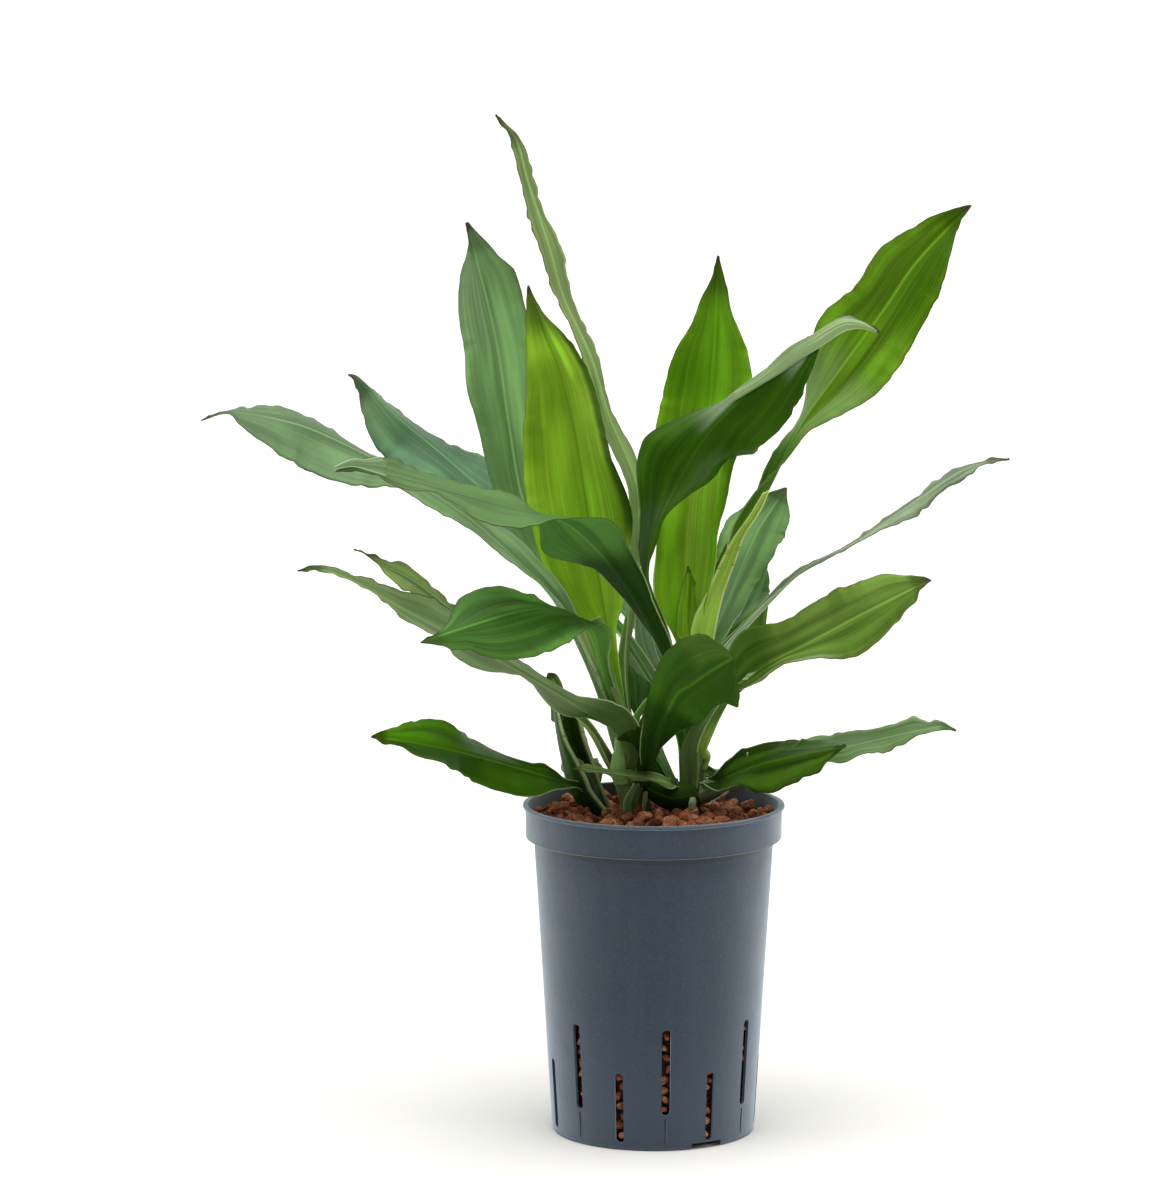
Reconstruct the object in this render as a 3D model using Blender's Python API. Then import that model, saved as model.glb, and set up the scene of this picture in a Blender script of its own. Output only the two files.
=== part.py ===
"""Potted dracaena: three leafy canes in a hydroculture pot filled with broken clay granules.

The origin is the centre of the pot's base. +X is to the right, +Y is away from the front, +Z is up.
Dimensions below are in millimetres, and every mesh is made in metres.
"""
from dataclasses import dataclass
from math import atan2, cos, pi, radians, sin

import bmesh
import bpy
import numpy as np

MM = 0.001
TOUCH_GAP = 0.3
SIDE_GAP = 0.4

# Pot: a standard 15/19 culture pot, 150 mm across the lip and 190 mm high
POT_HEIGHT = 190.0
LIP_RADIUS = 75.0
LIP_HEIGHT = 2.0
BAND_RADIUS = 73.3
BAND_BOTTOM = 166.0
SHOULDER_RADIUS = 68.0
SHOULDER_Z = 162.0
BASE_RADIUS = 58.2
BASE_ROUNDING = 2.5
WALL = 1.6
FLOOR_THICKNESS = 2.4
LIP_STEP = 0.4
BAND_FILLET = 2.0
POT_SEGMENTS = 56
POT_SMOOTH_ANGLE = 35

# Water slots: high and low ones take turns round the wall
SLOT_COUNT = 14
SLOT_WIDTH = 5.0
SLOT_HEAD_SEGMENTS = 6
SLOT_CUT_DEPTH = 16.0
HIGH_SLOT = (21.0, 71.0)
LOW_SLOT = (4.5, 45.0)
FIRST_SLOT_ANGLE = 6.0
FOOT_NOTCH_COUNT = 3
FOOT_NOTCH_ANGLE = 31.0
FOOT_NOTCH_WIDTH = 21.0
FOOT_NOTCH_DEPTH = 9.0
FOOT_NOTCH_HEIGHT = 2.4
FOOT_NOTCH_INSET = 2.0
FOOT_NOTCH_SLOPE = 1.0

# Clay granules
SOIL_TOP = 183.5
SOIL_DIP_AT_CANES = 3.5
SOIL_DIP_RADIUS = 11.0
CHIP_SIZE = 9.0
CHIP_HEIGHT = 4.2
CHIP_ROW_STEP = 0.87
CHIP_JITTER = 0.28
CHIP_TILT = 0.35
CHIP_LOWEST = 0.45
CHIP_SLOPE_WIDTH = 0.45
CHIP_SEED = 15
SOIL_RINGS = 15
SOIL_EDGE_DROP = 3.0

# Canes
CANE_DEPTH = 62.0
CANE_CLEARANCE = 0.5
CANE_SIDES = 12
CANE_RINGS = 5
CANE_SMOOTH_ANGLE = 40

# Leaf blades
FOOT_CLEARANCE = 0.35
SHEATH_LENGTH = 7.0
SHEATH_SHARE = 0.12
NECK_SHARE = 0.8
FOOT_WIDTH = 8.4
TIP_WIDTH = 2.2
SHARE_SCALE = 100.0
EDGE_THICKNESS = 0.75
MIDRIB_THICKNESS = 0.4
BASE_THICKNESS = 0.45
PETIOLE_FOLD = 38.0
PETIOLE_CURL = 25.0
WAVE_START = 0.25
WAVE_GROWTH = 0.7
WAVE_OFFSET = 1.9
CURL_STEPS = 12
TANGENT_STEP = 0.004
LEAF_SMOOTH_ANGLE = 60
LEAF_STATIONS = 17
LEAF_COLUMNS = (-1.0, -0.5, 0.0, 0.5, 1.0)


@dataclass
class Cane:
    """A stem: its centre line above the granules, and its radius along it."""
    name: str
    axis: list
    radii: list


@dataclass
class Leaf:
    """A leaf blade, from its foot on a cane along its midrib to the tip.

    foot is the foot's height, and side the side of the cane it clasps: 0 front, 90 right, 180 back.
    route holds the midrib's points. The rest is given at shares of the length: face, the way the
    upper side looks, halves, the width of the two halves, fold, the angle of each half above the
    flat, and curl, how much more it bends up at its edge.
    """
    name: str
    cane: str
    foot: float
    side: float
    route: list
    face: list
    halves: list
    fold: list
    tint: str = "mature"
    neck: float = 0.2
    lean: float = 2.5
    curl: tuple = ((0.5, -6.0), (1.0, 0.0))
    wave: float = 3.0
    waves: float = 3.0
    phase: float = 0.0


CANES = {
    "middle": Cane("cane_middle", [(-6, 14, 176), (-8, 13, 201), (-11, 12, 228)], [6.0, 6.0, 4.5]),
    "right": Cane("cane_right", [(21, 16, 176), (22, 15, 218), (21, 14, 262)], [6.5, 6.0, 4.5]),
    "side": Cane("cane_side_shoot", [(-31, 14, 175), (-34, 12, 193), (-37, 10, 205)], [4.5, 4.0, 3.2]),
}

LEAVES = [
    Leaf("leaf_tall_thin", "middle", foot=220, side=126,
         route=[(-8, 24, 250), (-9, 38, 325), (-9, 44, 348), (-10, 48, 366), (-27, 56, 409),
                (-36, 60, 439), (-53, 64, 476), (-61, 66, 504), (-73, 65, 541), (-80, 62, 566),
                (-91, 60, 580)],
         face=[(0.35, (-0.9, 0.4, -0.1)), (0.5, (-0.8, 0.5, -0.4)), (0.65, (-0.9, 0.3, -0.4)),
               (0.8, (-0.8, 0.5, -0.3)), (1, (-0.7, 0.6, -0.4))],
         halves=[(0.1, 4.5, 4.5), (0.25, 4.5, 4.5), (0.4, 8, 7), (0.52, 11, 12), (0.64, 14, 14),
                 (0.76, 12.5, 13.5), (0.86, 9, 8.5), (0.94, 5, 4.5)],
         fold=[(0.4, 15), (0.55, 10), (0.7, 0), (0.85, 0), (1, 0)],
         neck=0.3, wave=2),
    Leaf("leaf_back_left", "right", foot=236, side=230, tint="bluish",
         route=[(1, 36, 255), (-13, 48, 274), (-38, 62, 302), (-63, 72, 327), (-71, 76, 344),
                (-77, 79, 361), (-84, 84, 402), (-91, 88, 448), (-108, 84, 517)],
         face=[(0.2, (0.3, -0.7, 0.6)), (0.35, (0, -0.9, 0.4)), (0.5, (0.2, -0.9, 0.2)),
               (0.65, (0.3, -0.9, 0.1)), (0.8, (0.2, -1, 0.1)), (1, (0.5, -0.8, 0.1))],
         halves=[(0.1, 4.5, 4.5), (0.25, 5, 5), (0.4, 11, 11), (0.52, 17, 17), (0.64, 21, 21),
                 (0.76, 21.5, 21.5), (0.86, 19, 20), (0.94, 10, 12)],
         fold=[(0.4, 20), (0.55, 15), (0.7, 15), (0.85, 15), (1, 25)],
         neck=0.25, wave=2),
    Leaf("leaf_bright_upright", "middle", foot=213, side=202, tint="young",
         route=[(-19, 18, 247), (-35, 25, 336), (-46, 26, 403), (-55, 25, 439), (-62, 24, 456),
                (-72, 18, 485)],
         face=[(0.35, (-0.4, -0.9, 0)), (0.5, (-0.2, -1, 0)), (0.65, (-0.5, -0.9, -0.1)),
               (0.8, (-0.4, -0.9, -0.1)), (1, (-0.5, -0.8, -0.3))],
         halves=[(0.1, 4.5, 4.5), (0.25, 9, 8.5), (0.4, 26.5, 25), (0.52, 32.5, 32.5), (0.64, 31, 30),
                 (0.76, 24, 23), (0.86, 15.5, 15.5), (0.94, 7, 6.5)],
         fold=[(0.25, 20), (0.4, 20), (0.55, 30), (0.7, 30), (0.85, 15), (1, 15)],
         neck=0.2, lean=3.2, wave=2),
    Leaf("leaf_arching_left", "right", foot=248, side=-35,
         route=[(4, -12, 283), (-8, -30, 308), (-24, -50, 334), (-48, -72, 360), (-59, -79, 366),
                (-75, -84, 370), (-95, -87, 376), (-114, -88, 381), (-144, -86, 389), (-161, -83, 392),
                (-177, -80, 391)],
         face=[(0.2, (0.5, 0.6, 0.7)), (0.35, (0.4, 0.6, 0.7)), (0.5, (0.1, 0.7, 0.7)),
               (0.65, (0.3, -0.1, 1)), (0.8, (0.2, -0.2, 0.9)), (1, (-0.2, -0.5, 0.8))],
         halves=[(0.1, 4.5, 4.5), (0.25, 11, 10.5), (0.4, 20, 19.5), (0.52, 22.5, 23), (0.64, 17.5, 21),
                 (0.76, 15.5, 18), (0.86, 14, 15), (0.94, 7, 8.5)],
         fold=[(0.25, 0), (0.4, -5), (0.55, 0), (0.7, -15), (0.85, 0), (1, 15)],
         curl=[(0.5, 0), (1, 0)],
         neck=0.1),
    Leaf("leaf_far_left", "middle", foot=208, side=262, tint="bluish",
         route=[(-31, 8, 254), (-53, 9, 301), (-62, 8, 314), (-72, 6, 324), (-105, -2, 355),
                (-144, -12, 382), (-189, -20, 406), (-205, -23, 412), (-233, -27, 418), (-243, -29, 418),
                (-255, -30, 414)],
         face=[(0.35, (0.7, -0.2, 0.6)), (0.5, (0.7, -0.2, 0.7)), (0.65, (0.5, -0.1, 0.8)),
               (0.8, (0.5, -0.5, 0.7)), (1, (-0.2, -0.3, 0.9))],
         halves=[(0.1, 4.5, 4.5), (0.25, 7, 7), (0.4, 14, 14), (0.52, 20.5, 16), (0.64, 25, 21.5),
                 (0.76, 24, 26.5), (0.86, 21, 20), (0.94, 10.5, 9)],
         fold=[(0.25, 30), (0.4, 15), (0.55, 0), (0.7, -15), (0.85, -20), (1, -5)],
         neck=0.15, lean=3.5),
    Leaf("leaf_back_left_spreading", "right", foot=230, side=207, tint="bluish",
         route=[(9, 44, 249), (-1, 60, 270), (-25, 90, 298), (-63, 120, 327), (-103, 142, 357),
                (-132, 152, 381), (-150, 153, 396), (-175, 149, 421), (-180, 148, 423)],
         face=[(0.2, (0.3, -0.6, 0.8)), (0.35, (0.3, -0.5, 0.8)), (0.5, (0.3, -0.5, 0.8)),
               (0.65, (0.3, -0.6, 0.8)), (0.8, (0.5, -0.5, 0.7)), (1, (0.6, -0.6, 0.5))],
         halves=[(0.1, 4.5, 4.5), (0.25, 6, 6), (0.4, 13, 13), (0.52, 20, 20), (0.64, 24, 24),
                 (0.76, 22, 21.5), (0.86, 21, 18), (0.94, 12.5, 9.5)],
         fold=[(0.25, 30), (0.4, 20), (0.55, 15), (0.7, 10), (0.85, -20), (1, -30)],
         neck=0.2),
    Leaf("leaf_centre_upright", "right", foot=256, side=172, tint="young",
         route=[(23, 20, 281), (26, 29, 350), (32, 33, 413), (35, 29, 459), (36, 20, 502)],
         face=[(0.2, (-0.1, -1, 0.2)), (0.35, (-0.4, -0.9, 0.2)), (0.5, (-0.6, -0.8, 0.1)),
               (0.65, (-0.5, -0.9, 0)), (0.8, (-0.2, -1, -0.1)), (1, (-0.2, -1, -0.2))],
         halves=[(0.1, 5.5, 5.5), (0.25, 15.5, 14), (0.4, 23, 23.5), (0.52, 28, 30), (0.64, 28, 29),
                 (0.76, 22, 21.5), (0.86, 13.5, 13), (0.94, 6, 6.5)],
         fold=[(0.25, 5), (0.4, 30), (0.55, 30), (0.7, 15), (0.85, 20), (1, 30)],
         neck=0.08, wave=2),
    Leaf("leaf_arching_right", "right", foot=252, side=-96,
         route=[(6, 2, 282), (0, -2, 296), (-3, -5, 311), (-4, -8, 325), (-1, -12, 341), (3, -15, 355),
                (28, -24, 403), (46, -30, 424), (83, -38, 456), (97, -40, 466), (108, -40, 470),
                (125, -40, 464)],
         face=[(0.2, (1, -0.2, 0.1)), (0.35, (0.9, -0.3, -0.3)), (0.5, (0.3, -0.9, -0.3)),
               (0.65, (-0.6, -0.7, 0.3)), (0.8, (-0.6, -0.4, 0.7)), (1, (0.4, -0.2, 0.9))],
         halves=[(0.1, 4.5, 4.5), (0.25, 11, 11), (0.4, 22.5, 21), (0.52, 27, 28), (0.64, 25.5, 29),
                 (0.76, 22, 27), (0.86, 15, 14.5), (0.94, 7, 7.5)],
         fold=[(0.25, 5), (0.4, 0), (0.55, -15), (0.7, -15), (0.85, 0), (1, 15)],
         curl=[(0.3, -10), (0.6, -60), (1, -10)],
         neck=0.1),
    Leaf("leaf_high_right", "right", foot=244, side=105,
         route=[(29, 18, 276), (35, 26, 304), (46, 38, 334), (62, 47, 359), (85, 56, 402),
                (105, 60, 430), (133, 62, 468), (151, 60, 495), (182, 54, 529)],
         face=[(0.2, (-0.5, -0.7, 0.4)), (0.35, (-0.8, 0.3, 0.5)), (0.5, (-0.8, -0.4, 0.5)),
               (0.65, (-0.5, -0.8, 0.4)), (0.8, (-0.5, -0.8, 0.3)), (1, (-0.5, -0.8, 0.3))],
         halves=[(0.1, 4.5, 4.5), (0.25, 5.5, 5.5), (0.4, 6.5, 7), (0.52, 13.5, 13.5), (0.64, 25, 24.5),
                 (0.76, 27, 27.5), (0.86, 21, 22), (0.94, 12, 10.5)],
         fold=[(0.4, 25), (0.55, -15), (0.7, 0), (0.85, 0), (1, 25)],
         neck=0.4),
    Leaf("leaf_back_right", "right", foot=238, side=160, tint="bluish",
         route=[(29, 34, 265), (45, 71, 300), (63, 114, 333), (71, 124, 344), (80, 130, 357)],
         face=[(0.2, (-0.3, -0.7, 0.7)), (0.35, (-0.3, -0.6, 0.8)), (0.5, (-0.5, -0.4, 0.8)),
               (0.65, (-0.5, -0.4, 0.8)), (0.8, (-0.3, -0.5, 0.8)), (1, (-0.2, -0.8, 0.5))],
         halves=[(0.1, 4.5, 4.5), (0.25, 8, 8), (0.4, 15, 15), (0.52, 19, 19), (0.64, 20, 19),
                 (0.76, 20, 20), (0.86, 16, 16), (0.94, 8.5, 8.5)],
         fold=[(0.25, 25), (0.4, 15), (0.55, 0), (0.7, 5), (0.85, 10), (1, 0)],
         neck=0.12),
    Leaf("leaf_slim_right", "right", foot=232, side=92,
         route=[(36, 18, 267), (67, 31, 303), (87, 36, 321), (119, 42, 337), (131, 44, 345),
                (157, 46, 363), (180, 45, 378), (197, 43, 383), (205, 42, 384)],
         face=[(0.2, (-0.8, -0.2, 0.6)), (0.35, (-0.6, -0.2, 0.8)), (0.5, (-0.4, -0.1, 0.9)),
               (0.65, (-0.6, -0.1, 0.8)), (0.8, (-0.5, -0.3, 0.8)), (1, (-0.2, -0.2, 1))],
         halves=[(0.1, 4.5, 4.5), (0.25, 5, 5), (0.4, 6, 7), (0.52, 9, 9), (0.64, 10, 11),
                 (0.76, 10, 11.5), (0.86, 10.5, 9.5), (0.94, 6, 5)],
         fold=[(0.4, 15), (0.55, 0), (0.7, -5), (0.85, -10), (1, -5)],
         neck=0.25, wave=2),
    Leaf("leaf_back_right_short", "right", foot=224, side=135,
         route=[(36, 32, 253), (40, 49, 274), (58, 86, 294), (64, 101, 302), (68, 112, 312)],
         face=[(0.2, (-0.4, -0.7, 0.5)), (0.35, (-0.2, -0.7, 0.7)), (0.5, (-0.2, -0.4, 0.9)),
               (0.65, (-0.6, -0.1, 0.8)), (0.8, (-0.6, -0.1, 0.8)), (1, (-0.8, -0.3, 0.6))],
         halves=[(0.1, 4.5, 4.5), (0.25, 7, 7), (0.4, 16, 17), (0.52, 19, 23), (0.64, 18, 21),
                 (0.76, 15.5, 15), (0.86, 10.5, 12), (0.94, 6, 7)],
         fold=[(0.25, 30), (0.4, 5), (0.55, 0), (0.7, 0), (0.85, 5), (1, 15)],
         neck=0.15),
    Leaf("leaf_middle_right", "right", foot=208, side=72,
         route=[(31, 4, 220), (39, -7, 248), (45, -11, 257), (60, -18, 271), (85, -27, 286),
                (121, -35, 307), (155, -34, 324)],
         face=[(0.2, (-0.9, 0.1, 0.4)), (0.35, (-0.7, -0.4, 0.5)), (0.5, (-0.6, -0.5, 0.7)),
               (0.65, (-0.5, -0.6, 0.6)), (0.8, (-0.4, -0.7, 0.6)), (1, (-0.3, -0.6, 0.7))],
         halves=[(0.1, 4.5, 4.5), (0.25, 5, 5), (0.4, 15, 14), (0.52, 21, 21.5), (0.64, 21.5, 22),
                 (0.76, 22, 21.5), (0.86, 17, 17.5), (0.94, 9, 9)],
         fold=[(0.25, 30), (0.4, 20), (0.55, 30), (0.7, 0), (0.85, 5), (1, 15)],
         neck=0.22),
    Leaf("leaf_front_centre", "middle", foot=200, side=27,
         route=[(-1, -12, 217), (4, -46, 243), (8, -58, 255), (13, -68, 265), (21, -78, 272),
                (29, -90, 280), (36, -100, 286), (42, -108, 291)],
         face=[(0.3, (0.1, 0.7, 0.65)), (0.45, (0.25, 0.7, 0.65)), (0.65, (0.55, 0.75, 0.35)),
               (1, (0.65, 0.65, 0.4))],
         halves=[(0.12, 4.5, 4.5), (0.32, 4.5, 8), (0.46, 7, 10.5), (0.57, 14, 15), (0.66, 20, 21.5),
                 (0.75, 23.5, 25), (0.85, 24, 24.5), (0.93, 14, 18.5)],
         fold=[(0.5, 8), (1, 4)],
         neck=0.08),
    Leaf("leaf_front_left", "middle", foot=204, side=-26,
         route=[(-20, -7, 241), (-31, -23, 283), (-31, -35, 298), (-37, -46, 304), (-51, -65, 310),
                (-64, -79, 314), (-78, -93, 314), (-100, -111, 310), (-129, -130, 303)],
         face=[(0.35, (0.8, 0.5, 0.4)), (0.5, (0.5, 0.1, 0.9)), (0.65, (0.4, -0.1, 0.9)),
               (0.8, (0.3, -0.5, 0.8)), (1, (0.1, -0.5, 0.9))],
         halves=[(0.1, 3, 4.5), (0.25, 4.5, 6.5), (0.4, 14, 16), (0.52, 21, 21), (0.64, 26, 23),
                 (0.76, 27.5, 25.5), (0.86, 19.5, 20), (0.94, 9, 8.5)],
         fold=[(0.25, 45), (0.4, 25), (0.55, 0), (0.7, -5), (0.85, -20), (1, -30)],
         neck=0.22, wave=4),
    Leaf("leaf_lower_left", "middle", foot=198, side=-62,
         route=[(-28, -13, 238), (-38, -20, 246), (-62, -33, 264), (-87, -42, 280), (-138, -52, 309),
                (-176, -53, 330), (-187, -53, 333), (-200, -53, 332)],
         face=[(0.35, (0.3, 0.6, 0.8)), (0.5, (0.4, 0.4, 0.8)), (0.65, (0.3, 0.6, 0.8)),
               (0.8, (0.4, 0.6, 0.7)), (1, (-0.1, 0.5, 0.9))],
         halves=[(0.1, 5, 5), (0.25, 11.5, 11), (0.4, 18, 21), (0.52, 23.5, 26), (0.64, 19, 21.5),
                 (0.76, 13.5, 14), (0.86, 8, 9), (0.94, 5, 5.5)],
         fold=[(0.25, 15), (0.4, 0), (0.55, 0), (0.7, 15), (0.85, 15), (1, 0)],
         neck=0.12, lean=4.5),
    Leaf("leaf_thread_tip_left", "middle", foot=191, side=-115,
         route=[(-25, 10, 211), (-38, 3, 234), (-56, -5, 252), (-105, -14, 296), (-136, -16, 321),
                (-151, -16, 329), (-164, -14, 337), (-170, -13, 339)],
         face=[(0.35, (0.7, -0.4, 0.6)), (0.5, (0.7, -0.2, 0.7)), (0.65, (0.7, -0.1, 0.7)),
               (0.8, (0.6, -0.2, 0.8)), (1, (0.4, -0.2, 0.9))],
         halves=[(0.1, 5.5, 4.5), (0.25, 4.5, 3), (0.4, 7, 6), (0.52, 12, 9), (0.64, 18, 11.5),
                 (0.76, 19.5, 12.5), (0.86, 13.5, 12), (0.94, 6, 6)],
         fold=[(0.4, 5), (0.55, 0), (0.7, 0), (0.85, 0), (1, 0)],
         neck=0.3, lean=4.5),
    Leaf("leaf_bottom_left", "side", foot=189, side=-70,
         route=[(-49, -5, 202), (-110, -42, 227), (-143, -57, 236), (-159, -60, 239)],
         face=[(0.35, (0.6, -0.4, 0.7)), (0.5, (0.6, -0.4, 0.7)), (0.65, (0.5, -0.4, 0.7)),
               (0.8, (0.4, -0.5, 0.8)), (1, (0.2, -0.5, 0.8))],
         halves=[(0.1, 4.5, 4.5), (0.25, 7, 7), (0.4, 14.5, 15), (0.52, 17, 16.5), (0.64, 17, 18.5),
                 (0.76, 17, 18), (0.86, 13, 13), (0.94, 6.5, 7)],
         fold=[(0.25, 0), (0.4, -15), (0.55, -15), (0.7, 5), (0.85, 15), (1, 15)],
         neck=0.12, lean=3.5, wave=2.5),
    Leaf("leaf_bottom_right", "right", foot=191, side=48,
         route=[(39, -10, 206), (59, -37, 219), (86, -66, 231), (105, -80, 237)],
         face=[(0.2, (-0.9, -0.3, 0.4)), (0.35, (-0.8, -0.3, 0.6)), (0.5, (-0.7, -0.3, 0.7)),
               (0.65, (-0.7, -0.3, 0.7)), (0.8, (-0.5, -0.2, 0.8)), (1, (-0.5, -0.3, 0.8))],
         halves=[(0.1, 4, 4.5), (0.25, 8.5, 9), (0.4, 14, 14), (0.52, 18, 17), (0.64, 21, 21),
                 (0.76, 19, 20.5), (0.86, 12.5, 16.5), (0.94, 6.5, 8)],
         fold=[(0.25, 5), (0.4, 10), (0.55, -5), (0.7, -15), (0.85, -15), (1, -15)],
         neck=0.14, wave=1.5),
    Leaf("leaf_bottom_right_back", "right", foot=197, side=118,
         route=[(47, 24, 202), (85, 34, 211), (113, 36, 217), (134, 36, 222), (157, 31, 228),
                (167, 29, 230), (175, 28, 228)],
         face=[(0.2, (-0.1, -0.4, 0.9)), (0.35, (-0.2, -0.3, 0.9)), (0.5, (-0.2, -0.3, 0.9)),
               (0.65, (-0.2, -0.2, 1)), (0.8, (-0.3, -0.2, 0.9)), (1, (0.2, -0.3, 0.9))],
         halves=[(0.1, 4.5, 4.5), (0.25, 5.5, 5.5), (0.4, 11.5, 11), (0.52, 18, 14.5), (0.64, 20, 17),
                 (0.76, 21, 18), (0.86, 15.5, 11), (0.94, 7.5, 6.5)],
         fold=[(0.25, 30), (0.4, 5), (0.55, 0), (0.7, 0), (0.85, 0), (1, 0)],
         neck=0.22),
    Leaf("leaf_small_front", "right", foot=189, side=-60,
         route=[(6, -6, 204), (-21, -21, 211), (-46, -30, 216)],
         face=[(0.35, (0.6, 0, 0.8)), (0.5, (0.2, -0.1, 1)), (0.65, (0.2, -0.2, 1)),
               (0.8, (0.2, -0.1, 1)), (1, (0.3, -0.3, 0.9))],
         halves=[(0.1, 4.5, 4.5), (0.25, 5, 5), (0.4, 8, 6), (0.52, 9, 7), (0.64, 9, 8), (0.76, 7.5, 7),
                 (0.86, 5.5, 5), (0.94, 3.5, 3)],
         fold=[(0.25, 15), (0.4, -10), (0.55, 0), (0.7, 0), (0.85, 15), (1, 15)],
         neck=0.2, wave=1),
    Leaf("leaf_side_shoot_outer", "side", foot=197, side=-128,
         route=[(-46, 13, 208), (-53, 25, 246), (-58, 32, 260)],
         face=[(0.35, (0.6, 0.7, 0.3)), (0.5, (0.8, 0.5, 0.2)), (0.65, (0.9, 0.4, 0)),
               (0.8, (0.9, 0.4, 0)), (1, (0.7, 0.7, -0.1))],
         halves=[(0.1, 6.5, 7.5), (0.25, 5.5, 6), (0.4, 10, 13), (0.52, 14, 13.5), (0.64, 15, 13),
                 (0.76, 13, 12.5), (0.86, 10, 9), (0.94, 5, 5.5)],
         fold=[(0.25, 0), (0.4, -10), (0.55, 0), (0.7, 0), (0.85, -5), (1, -15)],
         neck=0.2, wave=1),
    Leaf("leaf_side_shoot_inner", "side", foot=200, side=120,
         route=[(-32, 19, 209), (-46, 29, 245)],
         face=[(0.35, (0.7, 0.7, 0.2)), (0.5, (0.9, 0.5, 0)), (0.65, (0.9, 0.4, 0.1)),
               (0.8, (0.9, 0.5, 0.1)), (1, (0.8, 0.6, 0.1))],
         halves=[(0.1, 5, 7.5), (0.25, 6.5, 7), (0.4, 8, 9), (0.52, 10, 12), (0.64, 12, 12),
                 (0.76, 11, 10), (0.86, 8, 7), (0.94, 4.5, 4)],
         fold=[(0.25, 25), (0.4, -10), (0.55, 0), (0.7, 0), (0.85, 0), (1, 0)],
         neck=0.2, wave=1),
    Leaf("leaf_young_spear", "right", foot=262, side=16, tint="young",
         route=[(19, 12, 291), (20, 12, 325)],
         face=[(0.35, (0.7, -0.6, 0.4)), (0.5, (0.8, -0.6, 0)), (0.65, (0.7, -0.7, -0.1)),
               (0.8, (0.6, -0.8, -0.1)), (1, (0.6, -0.8, -0.1))],
         halves=[(0.1, 5, 5), (0.25, 8, 8), (0.4, 8.5, 8), (0.52, 8, 8), (0.64, 8, 8), (0.76, 6.5, 6.5),
                 (0.86, 4, 4.5), (0.94, 2, 2.5)],
         fold=[(0.25, 25), (0.4, 5), (0.55, 15), (0.7, 30), (0.85, 15), (1, 15)],
         neck=0.05, wave=0),
]


# Curves and easing

def unit(vectors):
    return vectors / np.linalg.norm(vectors, axis=-1, keepdims=True)


def smooth_step(x):
    x = np.clip(x, 0, 1)
    return x * x * (3 - 2 * x)


def eased(s, keys):
    """Values at the shares s, easing between (share, value) keys."""
    places = np.array([key[0] for key in keys], float)
    values = np.array([key[1] for key in keys], float)
    i = np.clip(np.searchsorted(places, s, side="right") - 1, 0, len(keys) - 2)
    t = smooth_step((s - places[i]) / (places[i + 1] - places[i]))
    if values.ndim > 1:
        t = t[:, None]
    return values[i] + (values[i + 1] - values[i]) * t


def smooth_curve(points, per_span=40):
    """A centripetal Catmull-Rom curve through the points."""
    p = np.array(points, float)
    p = np.vstack([2 * p[0] - p[1], p, 2 * p[-1] - p[-2]])
    knots = np.concatenate([[0], np.cumsum(np.linalg.norm(np.diff(p, axis=0), axis=1) ** 0.5)])
    spans = []
    for i in range(1, len(p) - 2):
        t0, t1, t2, t3 = knots[i - 1:i + 3]
        t = np.linspace(t1, t2, per_span, endpoint=False)[:, None]
        a1 = (t1 - t) / (t1 - t0) * p[i - 1] + (t - t0) / (t1 - t0) * p[i]
        a2 = (t2 - t) / (t2 - t1) * p[i] + (t - t1) / (t2 - t1) * p[i + 1]
        a3 = (t3 - t) / (t3 - t2) * p[i + 1] + (t - t2) / (t3 - t2) * p[i + 2]
        b1 = (t2 - t) / (t2 - t0) * a1 + (t - t0) / (t2 - t0) * a2
        b2 = (t3 - t) / (t3 - t1) * a2 + (t - t1) / (t3 - t1) * a3
        spans.append((t2 - t) / (t2 - t1) * b1 + (t - t1) / (t2 - t1) * b2)
    return np.vstack(spans + [p[-2][None]])


def along(curve, s):
    """Points at the shares s of the curve's length."""
    lengths = np.concatenate([[0], np.cumsum(np.linalg.norm(np.diff(curve, axis=0), axis=1))])
    at = np.clip(s, 0, 1) * lengths[-1]
    return np.stack([np.interp(at, lengths, curve[:, k]) for k in range(3)], axis=1)


# Leaf shape

def cane_at(cane, z):
    """The cane's centre and radius at a height."""
    heights = [point[2] for point in cane.axis]
    x = np.interp(z, heights, [point[0] for point in cane.axis])
    y = np.interp(z, heights, [point[1] for point in cane.axis])
    return np.array([x, y, z], float), float(np.interp(z, heights, cane.radii))


def midrib(leaf):
    """The leaf's midrib curve and the direction from the cane out to its foot."""
    cane = CANES[leaf.cane]
    foot, radius = cane_at(cane, leaf.foot)
    above, _ = cane_at(cane, leaf.foot + SHEATH_LENGTH)
    up = unit(above - foot)
    out = np.array([sin(radians(leaf.side)), -cos(radians(leaf.side)), 0.0])
    out = unit(out - up * (out @ up))
    start = foot + out * (radius + FOOT_CLEARANCE)
    leave = foot + up * SHEATH_LENGTH + out * (radius + FOOT_CLEARANCE + leaf.lean)
    return smooth_curve([start, leave] + leaf.route), out, radius


def half_widths(leaf, s):
    """Width of the two halves of the blade at the shares s of its length."""
    keys = [(0, FOOT_WIDTH / 2, FOOT_WIDTH / 2), *leaf.halves, (1, TIP_WIDTH / 2, TIP_WIDTH / 2)]
    edge = smooth_curve([(at * SHARE_SCALE, left, right) for at, left, right in keys])
    at = s * SHARE_SCALE
    return np.interp(at, edge[:, 0], edge[:, 1]), np.interp(at, edge[:, 0], edge[:, 2])


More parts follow.
